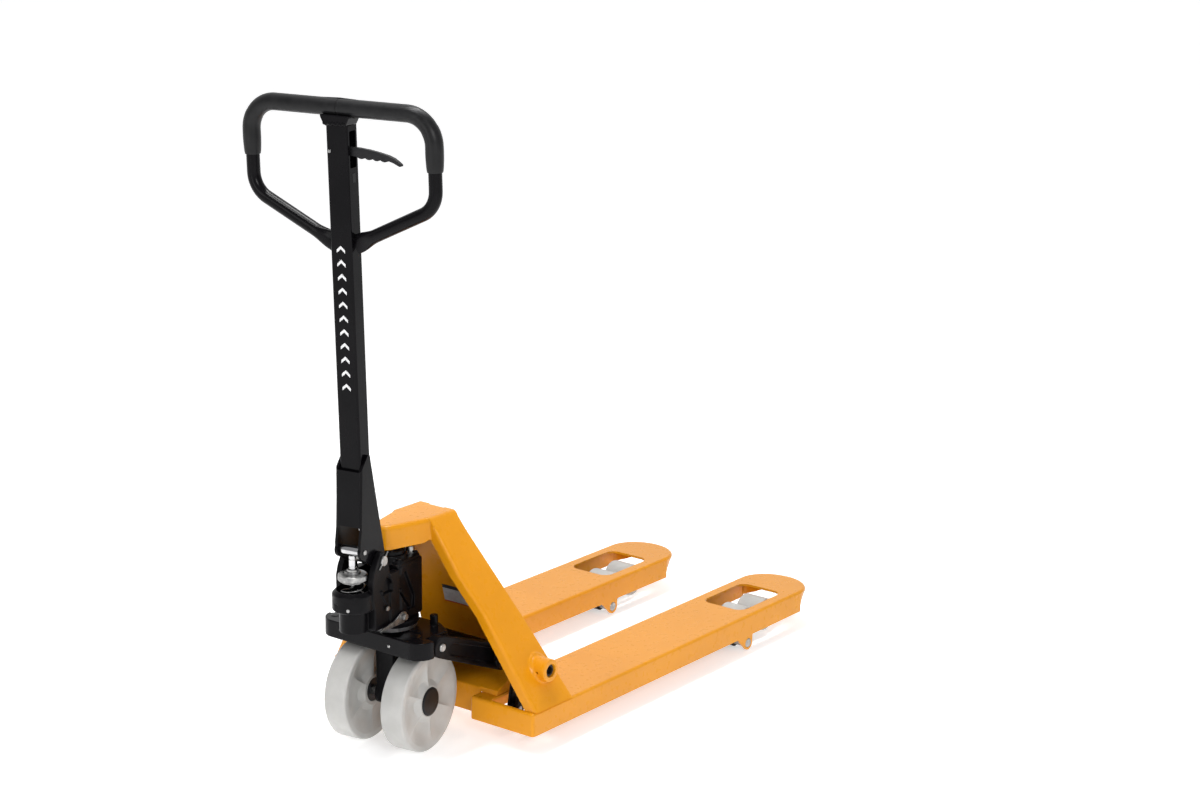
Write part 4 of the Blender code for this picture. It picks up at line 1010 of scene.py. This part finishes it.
def build_bearing_plate():
    """Crescent-shaped casting that carries the thrust bearing between the rocker arms."""
    low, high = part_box("bearing_plate")[0].z, 0.243
    corner = arc((-0.1430, 0.1010), 0.0328, 90, 180, 20)
    half = [(-0.048, 0.070), (-0.070, 0.1083), (-0.1360, 0.1083), (-0.1330, 0.1130),
            (-0.1330, 0.1290), (-0.1375, 0.1338)] + corner
    outline = half + [(x, -y) for x, y in reversed(half)]
    solids = [slab(outline, low, high - 0.0006)]
    solids.append(bar((-0.066, -0.070, high - 0.01), (-0.066, -0.070, high + 0.0215), 0.008, 32))
    solids.append(bar((-0.150, 0.112, high - 0.004), (-0.150, 0.112, high + 0.003), 0.0075, 32))
    rim = [(x, y) for x, y in outline if x < -0.139]
    solids.append(slab(rim, high - 0.002, high + 0.0018))
    trough = slab(rounded((-0.170, -0.094), (-0.1180, 0.094), 0.02, 8), high - 0.0015, high + 0.02)
    cutters = [bar((TRUNNION.x, 0, 0.19), (TRUNNION.x, 0, 0.27), 0.0325, 64), trough]
    for side in (-1, 1):
        cutters.append(bar((TRUNNION.x, side * 0.085, TRUNNION.z), (TRUNNION.x, side * 0.12, TRUNNION.z),
                           0.0083, 32))
    plate = melted("plate", solids, 0.0012, 4, cutters, 0.35)
    finished(plate, "bearing_plate_casting", "black_paint", "bearing_plate", ["bearing_plate"], TRUCK)
    build_grease_plug()


def build_grease_plug():
    """Small ball-ended nipple in the rim of the bearing plate."""
    profile = [(0.0, 0.0030), (0.0014, 0.0026), (0.0020, 0.0016), (0.0032, 0.0008), (0.0032, 0.0),
               (0.0, 0.0)]
    away = Vector((-1.0, -0.16, 0.0)).normalized()
    plug = spun(profile, Vector((-0.1757, -0.052, 0.2265)), away, 20, False)
    finished(plug, "grease_nipple", "zinc", "bearing_plate", (), TRUCK)


# ---------------------------------------------------------------- pump unit

PLUNGER_X = steer_point("drawbar_tilt").x - 0.0397
PIVOT = steer_point("drawbar_tilt")
BODY_LOW = steer_box("pump_body")[0].z
CUP_LOW, CUP_HIGH, NECK_LOW, SPRING_SEAT = 0.311, 0.350, 0.268, 0.2725


def build_pump_casting():
    """Cylinder, plunger cup on its neck, ears for the drawbar pin and the webs between them."""
    solids = [bar((0, 0, BODY_LOW), (0, 0, 0.398), 0.031, 64),
              bar((0, 0, BODY_LOW), (0, 0, 0.2625), 0.0558, 72)]
    cup = [(0.0, CUP_HIGH + 0.0015), (0.0338, CUP_HIGH + 0.0015), (0.0398, CUP_HIGH - 0.0055),
           (0.0398, CUP_LOW + 0.003), (0.0368, CUP_LOW), (0.0, CUP_LOW)]
    solids.append(spun(cup, (PLUNGER_X, 0, 0), (0, 0, 1), 72, False))
    solids.append(bar((PLUNGER_X, 0, NECK_LOW), (PLUNGER_X, 0, CUP_LOW + 0.004), 0.0268, 64))
    solids.append(block((PLUNGER_X + 0.02, -0.0268, NECK_LOW), (-0.012, 0.0268, 0.342)))
    solids.append(block((PLUNGER_X + 0.008, -0.0110, NECK_LOW + 0.003), (-0.012, 0.0330, 0.300)))
    ear = [(-0.1080, 0.2690), (-0.0500, 0.2690), (-0.0612, 0.3720)]
    ear += arc((PIVOT.x, PIVOT.z), 0.0170, 0, 150, 18) + [(-0.1130, 0.3900), (-0.1190, 0.3720)]
    ear += [(-0.1190, 0.3300), (-0.1120, 0.3100)]
    for side in (-1, 1):
        near, far = side * 0.0304, side * 0.0424
        solids.append(upright(ear, min(near, far), max(near, far)))
        solids.append(block((-0.112, min(side * 0.02, far), 0.270), (-0.050, max(side * 0.02, far), 0.336)))
        near, far = side * 0.0370, side * 0.0460
        rib = [(-0.0955, 0.3430), (-0.0915, 0.3450), (-0.0645, 0.3015), (-0.0690, 0.2995)]
        solids.append(upright(rib, min(near, far), max(near, far)))
        near = side * 0.0300
        solids.append(block((-0.0640, min(near, far - side * 0.0006), 0.2660),
                            (-0.0340, max(near, far - side * 0.0006), 0.3700)))
    pockets = []
    for side in (-1, 1):
        teardrop = arc((-0.0725, 0.3530), 0.0125, -10, 190, 14) + [(-0.0930, 0.3340), (-0.0540, 0.3340)]
        pockets.append(upright(teardrop, min(side * 0.0365, side * 0.06), max(side * 0.0365, side * 0.06)))
    cutters = [bar((PLUNGER_X, 0, CUP_LOW + 0.0028), (PLUNGER_X, 0, 0.37), 0.0315, 64),
               bar((PLUNGER_X, 0, SPRING_SEAT - 0.0008), (PLUNGER_X, 0, 0.33), 0.0236, 56),
               bar((0, 0, BODY_LOW + 0.0025), (0, 0, 0.42), 0.0145, 48),
               bar((PIVOT.x, -0.06, PIVOT.z), (PIVOT.x, 0.06, PIVOT.z), 0.0103, 40),
               block((PLUNGER_X - 0.05, 0.0080, 0.3125), (PLUNGER_X - 0.0350, 0.0260, 0.3290))]
    cutters += pockets
    casting = melted("pump", solids, 0.0011, 3, cutters, 0.35)
    finished(casting, "pump_casting", "cast_black", "pump_unit", ["pump_body"], STEER)


def build_reservoir():
    """Oil tank with rounded corners, a stepped lid and a ribbed recess on each flank."""
    tank = slab(rounded((-0.0360, -0.0458), (0.0518, 0.0458), 0.012, 8), 0.2632, 0.3755)
    lid = slab(rounded((-0.0270, -0.0415), (0.0490, 0.0415), 0.010, 8), 0.3740, 0.3815)
    tank = softened(tank, 0.0035, 3, 60)
    solids = [tank, softened(lid, 0.0020, 2, 60)]
    for x, y in ((0.0400, 0.0320), (0.0400, -0.0320), (-0.0180, 0.0340), (-0.0180, -0.0340)):
        solids.append(bar((x, y, 0.372), (x, y, 0.3860), 0.0062, 6))
    solids.append(bar((0.0, 0.0, 0.372), (0.0, 0.0, 0.3900), 0.0375, 64, 0.0355))
    pockets = []
    for side in (-1, 1):
        triangle = [(-0.0300, 0.3560), (-0.0120, 0.3620), (0.0180, 0.3050), (0.0150, 0.2820),
                    (-0.0060, 0.2800), (-0.0300, 0.3200)]
        near, far = side * 0.0400, side * 0.0600
        pockets.append(upright(triangle, min(near, far), max(near, far)))
        rib = [(-0.0300, 0.3260), (-0.0270, 0.3310), (0.0100, 0.2840), (0.0040, 0.2830)]
        near, far = side * 0.0385, side * 0.0452
        solids.append(upright(rib, min(near, far), max(near, far)))
    minus(tank, *pockets)
    cutters = [bar((0, 0, 0.25), (0, 0, 0.40), 0.0314, 64),
               block((-0.06, -0.0275, 0.25), (0.0, 0.0275, 0.3425)),
               block((-0.06, -0.06, 0.25), (-0.0335, 0.06, 0.40))]
    body = melted("tank", solids, 0.0011, 3, cutters, 0.35)
    finished(body, "oil_reservoir", "cast_black", "pump_unit", ["reservoir"], STEER)


def hex_profile_nut(start, axis, across, height, name):
    """Hexagon head with a turned crown."""
    head = bar((0, 0, 0), (0, 0, height), across / math.sqrt(3), 6)
    crown = spun([(0.0, height), (across * 0.47, height), (across * 0.62, height * 0.72),
                  (across * 0.62, 0.0), (0.0, 0.0)], (0, 0, 0), (0, 0, 1), 48, False)
    kept(head, crown)
    turn = Vector(axis).to_track_quat("Z", "Y").to_matrix().to_4x4()
    head.name = name
    return moved(head, Matrix.Translation(start) @ turn)


def build_pump_fittings():
    low, high = steer_box("filler_plug")
    middle = (low + high) / 2
    plug = [(0.0, 0.0160), (0.0060, 0.0160), (0.0080, 0.0145), (0.0086, 0.0120), (0.0086, 0.0042),
            (0.0112, 0.0036), (0.0112, 0.0), (0.0, 0.0)]
    finished(spun(plug, (middle.x, middle.y, low.z), (0, 0, 1), 40, False), "filler_screw", "zinc",
             "pump_unit", ["filler_plug"], STEER)
    pivot = steer_point("release_lever_tilt")
    face = pivot.y + 0.0037
    shank = bar((pivot.x, face, pivot.z), (pivot.x, face - 0.0070, pivot.z), 0.0040, 24)
    head = hex_profile_nut((pivot.x, face - 0.0063, pivot.z), (0, -1, 0), 0.0125, 0.0055, "bolt")
    finished(joined("bolt", [shank, head]), "release_bolt_hex", "zinc", "pump_unit", ["release_bolt"], STEER)
    side_screw = hex_profile_nut((-0.0775, -0.0455, 0.3060), (0, -1, 0), 0.0085, 0.0030, "screw")
    finished(side_screw, "valve_screw", "zinc", "pump_unit", (), STEER)
    away = Vector((-0.94, -0.34, 0.0))
    on_cup = Vector((PLUNGER_X, 0.0, 0.3200)) + away * 0.0390
    rear_screw = hex_profile_nut(on_cup, away, 0.0062, 0.0010, "screw")
    finished(rear_screw, "relief_screw", "zinc", "pump_unit", (), STEER)
    pin = chamfered_pin((PIVOT.x, -0.0465, PIVOT.z), (PIVOT.x, 0.0465, PIVOT.z), 0.0100, 0.0012, 48)
    finished(pin, "drawbar_pivot_pin", "zinc", "pump_unit", ["drawbar_pin"], STEER)
    split = bar((PIVOT.x - 0.0150, -0.0438, PIVOT.z - 0.0140), (PIVOT.x + 0.0130, -0.0438, PIVOT.z + 0.0150),
                0.0016, 16)
    finished(split, "split_pin", "zinc", "pump_unit", (), STEER)


def build_release_lever():
    """Pressed blade with eased edges, on a bolt at the side of the pump."""
    pivot = steer_point("release_lever_tilt")
    outline = [(-0.1120, 0.2705), (-0.1060, 0.2668), (-0.0700, 0.2655), (-0.0300, 0.2642),
               (-0.0225, 0.2680), (-0.0200, 0.2725), (-0.0200, 0.2825), (-0.0260, 0.2855),
               (-0.0360, 0.2858), (-0.0480, 0.2810), (-0.0600, 0.2762), (-0.0900, 0.2735)]
    blade = upright(outline, pivot.y - 0.0020, pivot.y + 0.0020)
    minus(blade, bar((pivot.x, pivot.y - 0.01, pivot.z), (pivot.x, pivot.y + 0.01, pivot.z), 0.0043, 32))
    finished(softened(blade, 0.0007, 2, 40), "release_blade", "zinc", "release_lever",
             ["release_lever"], STEER)


def build_plunger():
    """Plunger stem with grooves, stepped collar, knurled spring cap and the return spring."""
    stem = [(0.0, 0.4180), (0.0060, 0.4180), (0.0070, 0.4170), (0.0070, 0.4120), (0.0062, 0.4114),
            (0.0062, 0.4098), (0.0070, 0.4092), (0.0070, 0.3970), (0.0064, 0.3965), (0.0064, 0.3945),
            (0.0071, 0.3940), (0.0071, 0.3275), (0.0064, 0.3270), (0.0, 0.3270)]
    finished(spun(stem, (PLUNGER_X, 0, 0), (0, 0, 1), 48, False), "plunger_stem", "chrome", "plunger",
             ["plunger"], STEER)
    low, high = 0.3690, 0.3820
    ridges = 96
    bm = bmesh.new()
    outline = [(0.0085, high + 0.0090), (0.0104, high + 0.0090), (0.0112, high + 0.0080),
               (0.0112, high + 0.0050), (0.0148, high + 0.0046), (0.0154, high + 0.0036),
               (0.0154, high + 0.0006), (0.0258, high), (0.0276, high - 0.0012), (0.0284, high - 0.0022),
               (0.0284, low + 0.0022), (0.0276, low + 0.0010), (0.0262, low), (0.0076, low)]
    rings = []
    for i in range(ridges * 2):
        angle = math.pi * i / ridges
        notch = 0.0004 if i % 2 else 0.0
        ring = []
        for radius, height in outline:
            reach = radius - (notch if radius > 0.028 else 0.0)
            ring.append(bm.verts.new((PLUNGER_X + reach * math.cos(angle), reach * math.sin(angle), height)))
        rings.append(ring)
    for first, second in zip(rings, rings[1:] + rings[:1]):
        for k in range(len(outline)):
            n = (k + 1) % len(outline)
            bm.faces.new((first[k], first[n], second[n], second[k]))
    bmesh.ops.recalc_face_normals(bm, faces=bm.faces)
    finished(from_bmesh("cap", bm), "knurled_spring_cap", "zinc", "plunger", ["spring_cap"], STEER, angle=25)
    build_spring(low)


def build_spring(top):
    """Return spring from its seat in the neck up to the cap."""
    wire, mean, turns, per_turn = 0.0015, 0.0218, 5.5, 64
    low, high = SPRING_SEAT + wire + 0.0003, top - wire - 0.0002
    total = int(turns * per_turn)
    points = []
    for i in range(total + 1):
        share = i / total
        angle = 2 * math.pi * i / per_turn + math.radians(79)
        height = low + (high - low) * min(1.0, max(0.0, (share - 0.06) / 0.88))
        points.append((PLUNGER_X + mean * math.cos(angle), mean * math.sin(angle), height))
    spring = pipe(points, wire, 14, "spring")
    finished(spring, "return_spring", "zinc", "plunger", ["plunger_spring"], STEER, weighted=False)
    spring.parent = None
    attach(spring, "pump_unit")
    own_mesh(spring)


def build_ram():
    profile = [(0.0, 0.4427)]
    profile += [(0.0140 * math.sin(math.radians(a)), 0.4287 + 0.0138 * math.cos(math.radians(a)))
                for a in range(12, 85, 12)]
    profile += [(0.0140, 0.4240), (0.0140, 0.2560), (0.0, 0.2560)]
    finished(spun(profile, (0, 0, 0), (0, 0, 1), 56, False), "ram_rod", "chrome", "ram", ["ram"], STEER)


def build_yoke():
    """Casting under the bearing plate with a boss around the steering axle."""
    solids = [softened(block((-0.0223, -0.0223, 0.0860), (0.0223, 0.0223, 0.2073)), 0.006, 3, 60),
              bar((0, 0, 0.195), (0, 0, BODY_LOW - 0.0004), 0.0316, 64),
              bar((0, -0.0250, WHEEL_R), (0, 0.0250, WHEEL_R), 0.0220, 56)]
    bore = bar((0, -0.05, WHEEL_R), (0, 0.05, WHEEL_R), 0.0103, 40)
    yoke = melted("yoke", solids, 0.0013, 3, [bore], 0.35)
    finished(yoke, "axle_yoke", "cast_black", "pump_unit", ["steering_yoke"], STEER)
    axle = chamfered_pin((0, -0.088, WHEEL_R), (0, 0.088, WHEEL_R), 0.0100, 0.0010, 40)
    finished(axle, "wheel_axle", "zinc", "pump_unit", ["steer_axle"], STEER)


# ---------------------------------------------------------------- drawbar

PRESS = steer_point("press_roller_spin")
TUBE_FOOT = Vector((-0.1062, 0.0, 0.500))
TUBE_HEAD = Vector((-0.1359, 0.0, 1.2315))
TUBE_HALF = Vector((0.017, 0.023))
LOOP_X, LOOP_HALF, LOOP_TOP, LOOP_R = -0.139, 0.198, 1.262, 0.0125
LEAN = math.atan2(TUBE_FOOT.x - TUBE_HEAD.x, TUBE_HEAD.z - TUBE_FOOT.z)
TUBE = Matrix.Translation(TUBE_FOOT) @ Matrix.Rotation(-LEAN, 4, "Y")
TUBE_LENGTH = (TUBE_HEAD - TUBE_FOOT).length


def bracket_plate():
    points = [(-0.1340, 0.5840), (-0.1340, 0.4700), (-0.1385, 0.4440)]
    points += arc((PRESS.x, PRESS.z), 0.0155, 150, 262, 16)
    points += arc((PIVOT.x, PIVOT.z), 0.0175, 240, 350, 16)
    return points + [(-0.0590, 0.4120), (-0.1040, 0.6120), (-0.1100, 0.6130)]


def build_bracket():
    """Channel bent round the foot of the tube, with lobes for the press roller and pivot pin."""
    shell = upright(bracket_plate(), -0.0290, 0.0290)
    bm = bmesh.new()
    bm.from_mesh(shell.data)
    rear = [e for e in bm.edges
            if all(abs(v.co.x + 0.134) < 0.0002 and v.co.z > 0.469 for v in e.verts)
            and abs(e.verts[0].co.y - e.verts[1].co.y) < 1e-6]
    bmesh.ops.bevel(bm, geom=rear, offset=0.0060, segments=5, profile=0.5, affect="EDGES")
    bm.to_mesh(shell.data)
    bm.free()
    minus(shell, block((-0.1283, -0.0233, 0.30), (0.0, 0.0233, 0.70)),
          block((-0.20, -0.0233, 0.30), (-0.10, 0.0233, 0.476)),
          block((-0.20, -0.0233, 0.5845), (-0.10, 0.0233, 0.70)))
    minus(shell, bar((PIVOT.x, -0.06, PIVOT.z), (PIVOT.x, 0.06, PIVOT.z), 0.0103, 48),
          bar((PRESS.x, -0.06, PRESS.z), (PRESS.x, 0.06, PRESS.z), 0.0053, 32))
    softened(shell, 0.0009, 2, 45)
    finished(shell, "bracket_channel", "black_paint", "drawbar", ["drawbar_bracket"], STEER)
    axle = chamfered_pin((PRESS.x, -0.0308, PRESS.z), (PRESS.x, 0.0308, PRESS.z), 0.0050, 0.0007, 32)
    finished(axle, "press_axle", "zinc", "drawbar", ["roller_axle"], STEER)
    ring = [(0.0082, 0.0190), (0.0090, 0.0182), (0.0090, -0.0182), (0.0082, -0.0190), (0.0053, -0.0190),
            (0.0053, 0.0190)]
    finished(spun(ring, (PRESS.x, 0, PRESS.z), (0, 1, 0), 48), "press_wheel", "chrome", "press_roller",
             ["press_roller"], STEER)


def build_tube():
    """Square tube with rounded corners, the lever's slot and pin hole."""
    depth, width = TUBE_HALF
    outer = slab(rounded((-depth, -width), (depth, width), 0.0042, 6), 0.0, TUBE_LENGTH)
    minus(outer, slab(rounded((0.003 - depth, 0.003 - width), (depth - 0.003, width - 0.003), 0.0018, 3),
                      -0.02, TUBE_LENGTH + 0.02))
    slot = slab(rounded((-0.0098, 0.655), (0.0098, 0.722), 0.0030, 4), -0.03, -0.01,
                Matrix(((1, 0, 0, 0), (0, 0, 1, 0), (0, 1, 0, 0), (0, 0, 0, 1))))
    pin = steer_point("control_lever_tilt")
    height = (pin.z - TUBE_FOOT.z) / math.cos(LEAN)
    minus(outer, slot, bar((-0.03, pin.y, height), (0.03, pin.y, height), 0.0033, 24))
    finished(outer, "drawbar_square_tube", "black_paint", "drawbar", ["drawbar_tube"], STEER @ TUBE)
    rivet = chamfered_pin((-0.0186, pin.y, height), (0.0186, pin.y, height), 0.0030, 0.0006, 24)
    finished(rivet, "lever_rivet", "zinc", "drawbar", ["lever_pin"], STEER @ TUBE)
    plaque = softened(block((-0.0050, -0.0236, 0.628), (0.0050, -0.0229, 0.6450)), 0.0003, 1, 50)
    finished(plaque, "plain_plaque", "cap_plastic", "drawbar", (), STEER @ TUBE)
    build_marks()


def build_marks():
    """Column of plain chevrons on the rear face of the tube."""
    count, pitch, first = 11, 0.0260, 0.239
    half, rise, stroke = 0.0090, 0.0076, 0.0058
    level = -TUBE_HALF.x - 0.00035
    chevrons = []
    for i in range(count):
        z = first + i * pitch
        outline = [(-half, z), (0.0, z + rise), (half, z), (half, z + stroke), (0.0, z + rise + stroke),
                   (-half, z + stroke)]
        chevrons.append(slab(outline, level, level + 0.0003, REAR))
    finished(joined("marks", chevrons), "drawbar_chevrons", None, "drawbar", (), STEER @ TUBE, WHITE_FILM)


def loop_half(corner_steps=18):
    """Half of the handle loop for y >= 0, from the top bar down to the tube's side."""
    corner_r, lower_r, slope = 0.055, 0.050, 25.5
    corner = (LOOP_HALF - corner_r, LOOP_TOP - corner_r)
    path = [(0.0, LOOP_TOP)] + arc(corner, corner_r, 90, 0, corner_steps)
    lower = (LOOP_HALF - lower_r, 1.128)
    path += arc(lower, lower_r, 0, -(90 - slope), corner_steps)
    last = path[-1]
    end_y = TUBE_HALF.y + 0.0006
    run = last[0] - end_y
    for i in range(1, 25):
        y = last[0] - run * i / 24
        path.append((y, last[1] - (last[0] - y) * math.tan(math.radians(slope))))
    return path


def on_loop(y, z):
    """A point of the loop's plane, which leans with the tube."""
    return (LOOP_X + (LOOP_TOP - z) * 0.0405, y, z)


def build_loop():
    """Bent round tube whose ends are pressed flat where they are welded on."""
    half = loop_half()
    right = [(-y, z) for y, z in half[1:]]
    path = [on_loop(y, z) for y, z in list(reversed(half[1:])) + half[:1] + right]

    def section(i):
        y = abs(path[i][1])
        press = min(1.0, max(0.0, (0.066 - y) / 0.034))
        press = press * press * (3 - 2 * press)
        return LOOP_R * (1 + 0.42 * press), LOOP_R * (1 - 0.52 * press)

    loop = pipe(path, LOOP_R, 40, "loop", section)
    for side in (-1, 1):
        low, high = sorted((0.0, side * (TUBE_HALF.y + 0.0003)))
        minus(loop, block((-0.20, low, 0.90), (-0.05, high, 1.15)))
    finished(loop, "handle_tube", "black_paint", "drawbar", ["handle_loop"], STEER, angle=50)


def build_grips():
    """Rubber sleeves over the top bar and the corners, thicker round the bend."""
    half = loop_half()
    corner_end = 1 + 18
    for side, name in SIDES:
        spine = [(0.0004, LOOP_TOP), (0.030, LOOP_TOP), (0.070, LOOP_TOP), (0.110, LOOP_TOP)]
        spine += half[1:corner_end + 1]
        low, steps = 1.1620, 8
        spine += [(LOOP_HALF, half[corner_end][1] - (half[corner_end][1] - low) * i / steps)
                  for i in range(1, steps + 1)]
        spine = [on_loop(side * y, z) for y, z in spine]
        count = len(spine)

        def section(i):
            z = spine[i][2]
            thick = 0.0161
            if i > count - steps - 8:
                share = min(1.0, max(0.0, (z - low) / 0.042))
                thick = 0.0150 + 0.0017 * math.sin(share * math.pi * 0.62)
            if i == count - 1:
                thick = 0.0145
            return thick, thick

        sleeve = pipe(spine, 0.0163, 40, "sleeve", section)
        minus(sleeve, pipe([Vector(spine[0]) + Vector((0, -side * 0.01, 0))] + spine[1:-1]
                           + [Vector(spine[-1]) + Vector((0, 0, -0.01))], LOOP_R + 0.0003, 40, "core"))
        finished(sleeve, "rubber_grip_" + name, "rubber", "drawbar", ["grip_" + name], STEER, angle=40)


def build_saddle():
    """Cradle plate welded between the tube's end and the top bar, with its weld beads."""
    low, high = 1.2326, 1.2500
    outline = [(-0.0240, low), (0.0240, low), (0.0310, high - 0.004), (0.0310, high), (-0.0310, high),
               (-0.0310, high - 0.004)]
    plate = slab(outline, LOOP_X - 0.0192, LOOP_X + 0.0172, REAR)
    minus(plate, bar((LOOP_X, -0.05, LOOP_TOP), (LOOP_X, 0.05, LOOP_TOP), 0.0166, 56))
    beads = []
    for i in range(13):
        y = -0.0225 + 0.00375 * i
        sag = 0.0012 * math.sin(2.1 * i)
        beads.append(bar((LOOP_X - 0.0178, y - 0.002, low + 0.0022 + sag),
                         (LOOP_X - 0.0178, y + 0.002, low + 0.0012 + sag), 0.0030, 12))
    saddle = melted("saddle", [plate] + beads, 0.0009, 2, (), 0.4)
    finished(saddle, "welded_saddle", "black_paint", "drawbar", ["handle_saddle"], STEER)


def build_control_lever():
    """Finger lever with a wavy underside and a drooping tip."""
    pivot = steer_point("control_lever_tilt")
    top = [(0.0180, 1.1900), (0.000, 1.1925), (-0.0200, 1.1930), (-0.0400, 1.1922), (-0.0600, 1.1905),
           (-0.0800, 1.1876), (-0.1000, 1.1838), (-0.1130, 1.1795), (-0.1215, 1.1745)]
    tip = [(-0.1275, 1.1705), (-0.1295, 1.1680), (-0.1285, 1.1660), (-0.1262, 1.1655), (-0.1215, 1.1672),
           (-0.1140, 1.1705), (-0.1080, 1.1722)]
    scallops = []
    for i in range(4):
        for step in range(8):
            phase = step / 8
            y = -0.1020 + 0.0165 * (i + phase)
            scallops.append((y, 1.1735 + 0.00055 * i - 0.0026 * math.sin(math.pi * phase)))
    outline = top + tip + scallops + [(-0.0350, 1.1760), (0.0180, 1.1780)]
    lever = slab(outline, pivot.x - 0.0045, pivot.x + 0.0045, REAR)
    minus(lever, bar((pivot.x - 0.03, pivot.y, pivot.z), (pivot.x + 0.03, pivot.y, pivot.z), 0.0040, 24))
    finished(softened(lever, 0.0014, 3, 40), "finger_lever", "cap_plastic", "control_lever",
             ["control_lever"], STEER)


def build_details():
    build_wheels()
    build_load_rollers()
    build_bogies()
    build_load_arms()
    build_rocker()
    build_trunnion_pins()
    build_bearing_plate()
    build_pump_casting()
    build_reservoir()
    build_pump_fittings()
    build_release_lever()
    build_plunger()
    build_ram()
    build_yoke()
    build_bracket()
    build_tube()
    build_loop()
    build_grips()
    build_saddle()
    build_control_lever()


# ---------------------------------------------------------------- carried-over CAD nodes

def dress_frame_nodes():
    """Give every CAD node that still shows its procedural material."""
    slots = {row["node"]: row["material_slot"] for row in frame["record"]["subparts"]}
    for name, obj in frame["nodes"].items():
        if not obj.hide_render:
            obj.data.materials.clear()
            obj.data.materials.append(MATERIALS[slots[name]])


# ---------------------------------------------------------------- stage, light and camera

def build_stage():
    bm = bmesh.new()
    bmesh.ops.create_grid(bm, x_segments=1, y_segments=1, size=60.0)
    floor = from_bmesh("floor", bm)
    material, shader = new_material("floor", (0.86, 0.86, 0.86), 0.7)
    tint(material, shader, noise(material, 1.5, 2.0), (0.855, 0.855, 0.855), (0.865, 0.865, 0.865))
    shader.inputs["Emission Color"].default_value = (1.0, 1.0, 1.0, 1.0)
    shader.inputs["Emission Strength"].default_value = 0.51
    floor.data.materials.append(material)


def add_area(name, location, target, size, power):
    light = bpy.data.lights.new(name, "AREA")
    light.shape = "RECTANGLE"
    light.size, light.size_y = size
    light.energy = power
    lamp = bpy.data.objects.new(name, light)
    lamp.location = location
    lamp.rotation_euler = (Vector(target) - Vector(location)).to_track_quat("-Z", "Y").to_euler()
    scene.collection.objects.link(lamp)


def build_light():
    world = bpy.data.worlds.new("studio")
    world.use_nodes = True
    nodes, links = world.node_tree.nodes, world.node_tree.links
    background = nodes["Background"]
    background.inputs["Strength"].default_value = 1.0
    place = nodes.new("ShaderNodeTexCoord")
    along = nodes.new("ShaderNodeVectorMath")
    along.operation = "DOT_PRODUCT"
    along.inputs[1].default_value = (0.79, 0.61, 0.0)
    ramp = nodes.new("ShaderNodeValToRGB")
    ramp.color_ramp.elements[0].position = 0.0
    ramp.color_ramp.elements[0].color = (0.36, 0.36, 0.37, 1.0)
    ramp.color_ramp.elements[1].position = 0.75
    ramp.color_ramp.elements[1].color = (0.98, 0.98, 0.98, 1.0)
    links.new(place.outputs["Generated"], along.inputs[0])
    links.new(along.outputs["Value"], ramp.inputs["Fac"])
    links.new(ramp.outputs["Color"], background.inputs["Color"])
    scene.world = world
    add_area("key", (-3.0, -3.9, 2.9), (0.0, 0.0, 0.4), (1.6, 1.6), 88.0)
    add_area("fill", (-3.6, 0.3, 1.6), (0.0, 0.0, 0.5), (1.0, 2.2), 17.0)
    add_area("overhead", (-0.3, 0.2, 3.1), (-0.3, 0.0, 0.3), (2.4, 0.35), 62.0)


def build_camera():
    yaw, pitch, roll = math.radians(37.6), math.radians(-14.72), math.radians(0.545)
    ahead = Vector((math.cos(yaw) * math.cos(pitch), math.sin(yaw) * math.cos(pitch), math.sin(pitch)))
    right = Vector((math.sin(yaw), -math.cos(yaw), 0.0))
    up = right.cross(ahead)
    right, up = (right * math.cos(roll) + up * math.sin(roll), up * math.cos(roll) - right * math.sin(roll))
    turn = Matrix((right, up, -ahead)).transposed().to_4x4()
    data = bpy.data.cameras.new("camera")
    data.sensor_width = 36.0
    data.lens = 74.41
    data.clip_end = 60.0
    camera = bpy.data.objects.new("camera", data)
    camera.matrix_world = Matrix.Translation((-3.81665, -3.0843, 1.8856)) @ turn
    scene.collection.objects.link(camera)
    scene.camera = camera


build_camera()
build_forks()
build_a_frame()
build_apron()
build_cross_shaft()
build_cross_member()
build_details()
dress_frame_nodes()
build_stage()
build_light()
scene.view_settings.view_transform = "Standard"
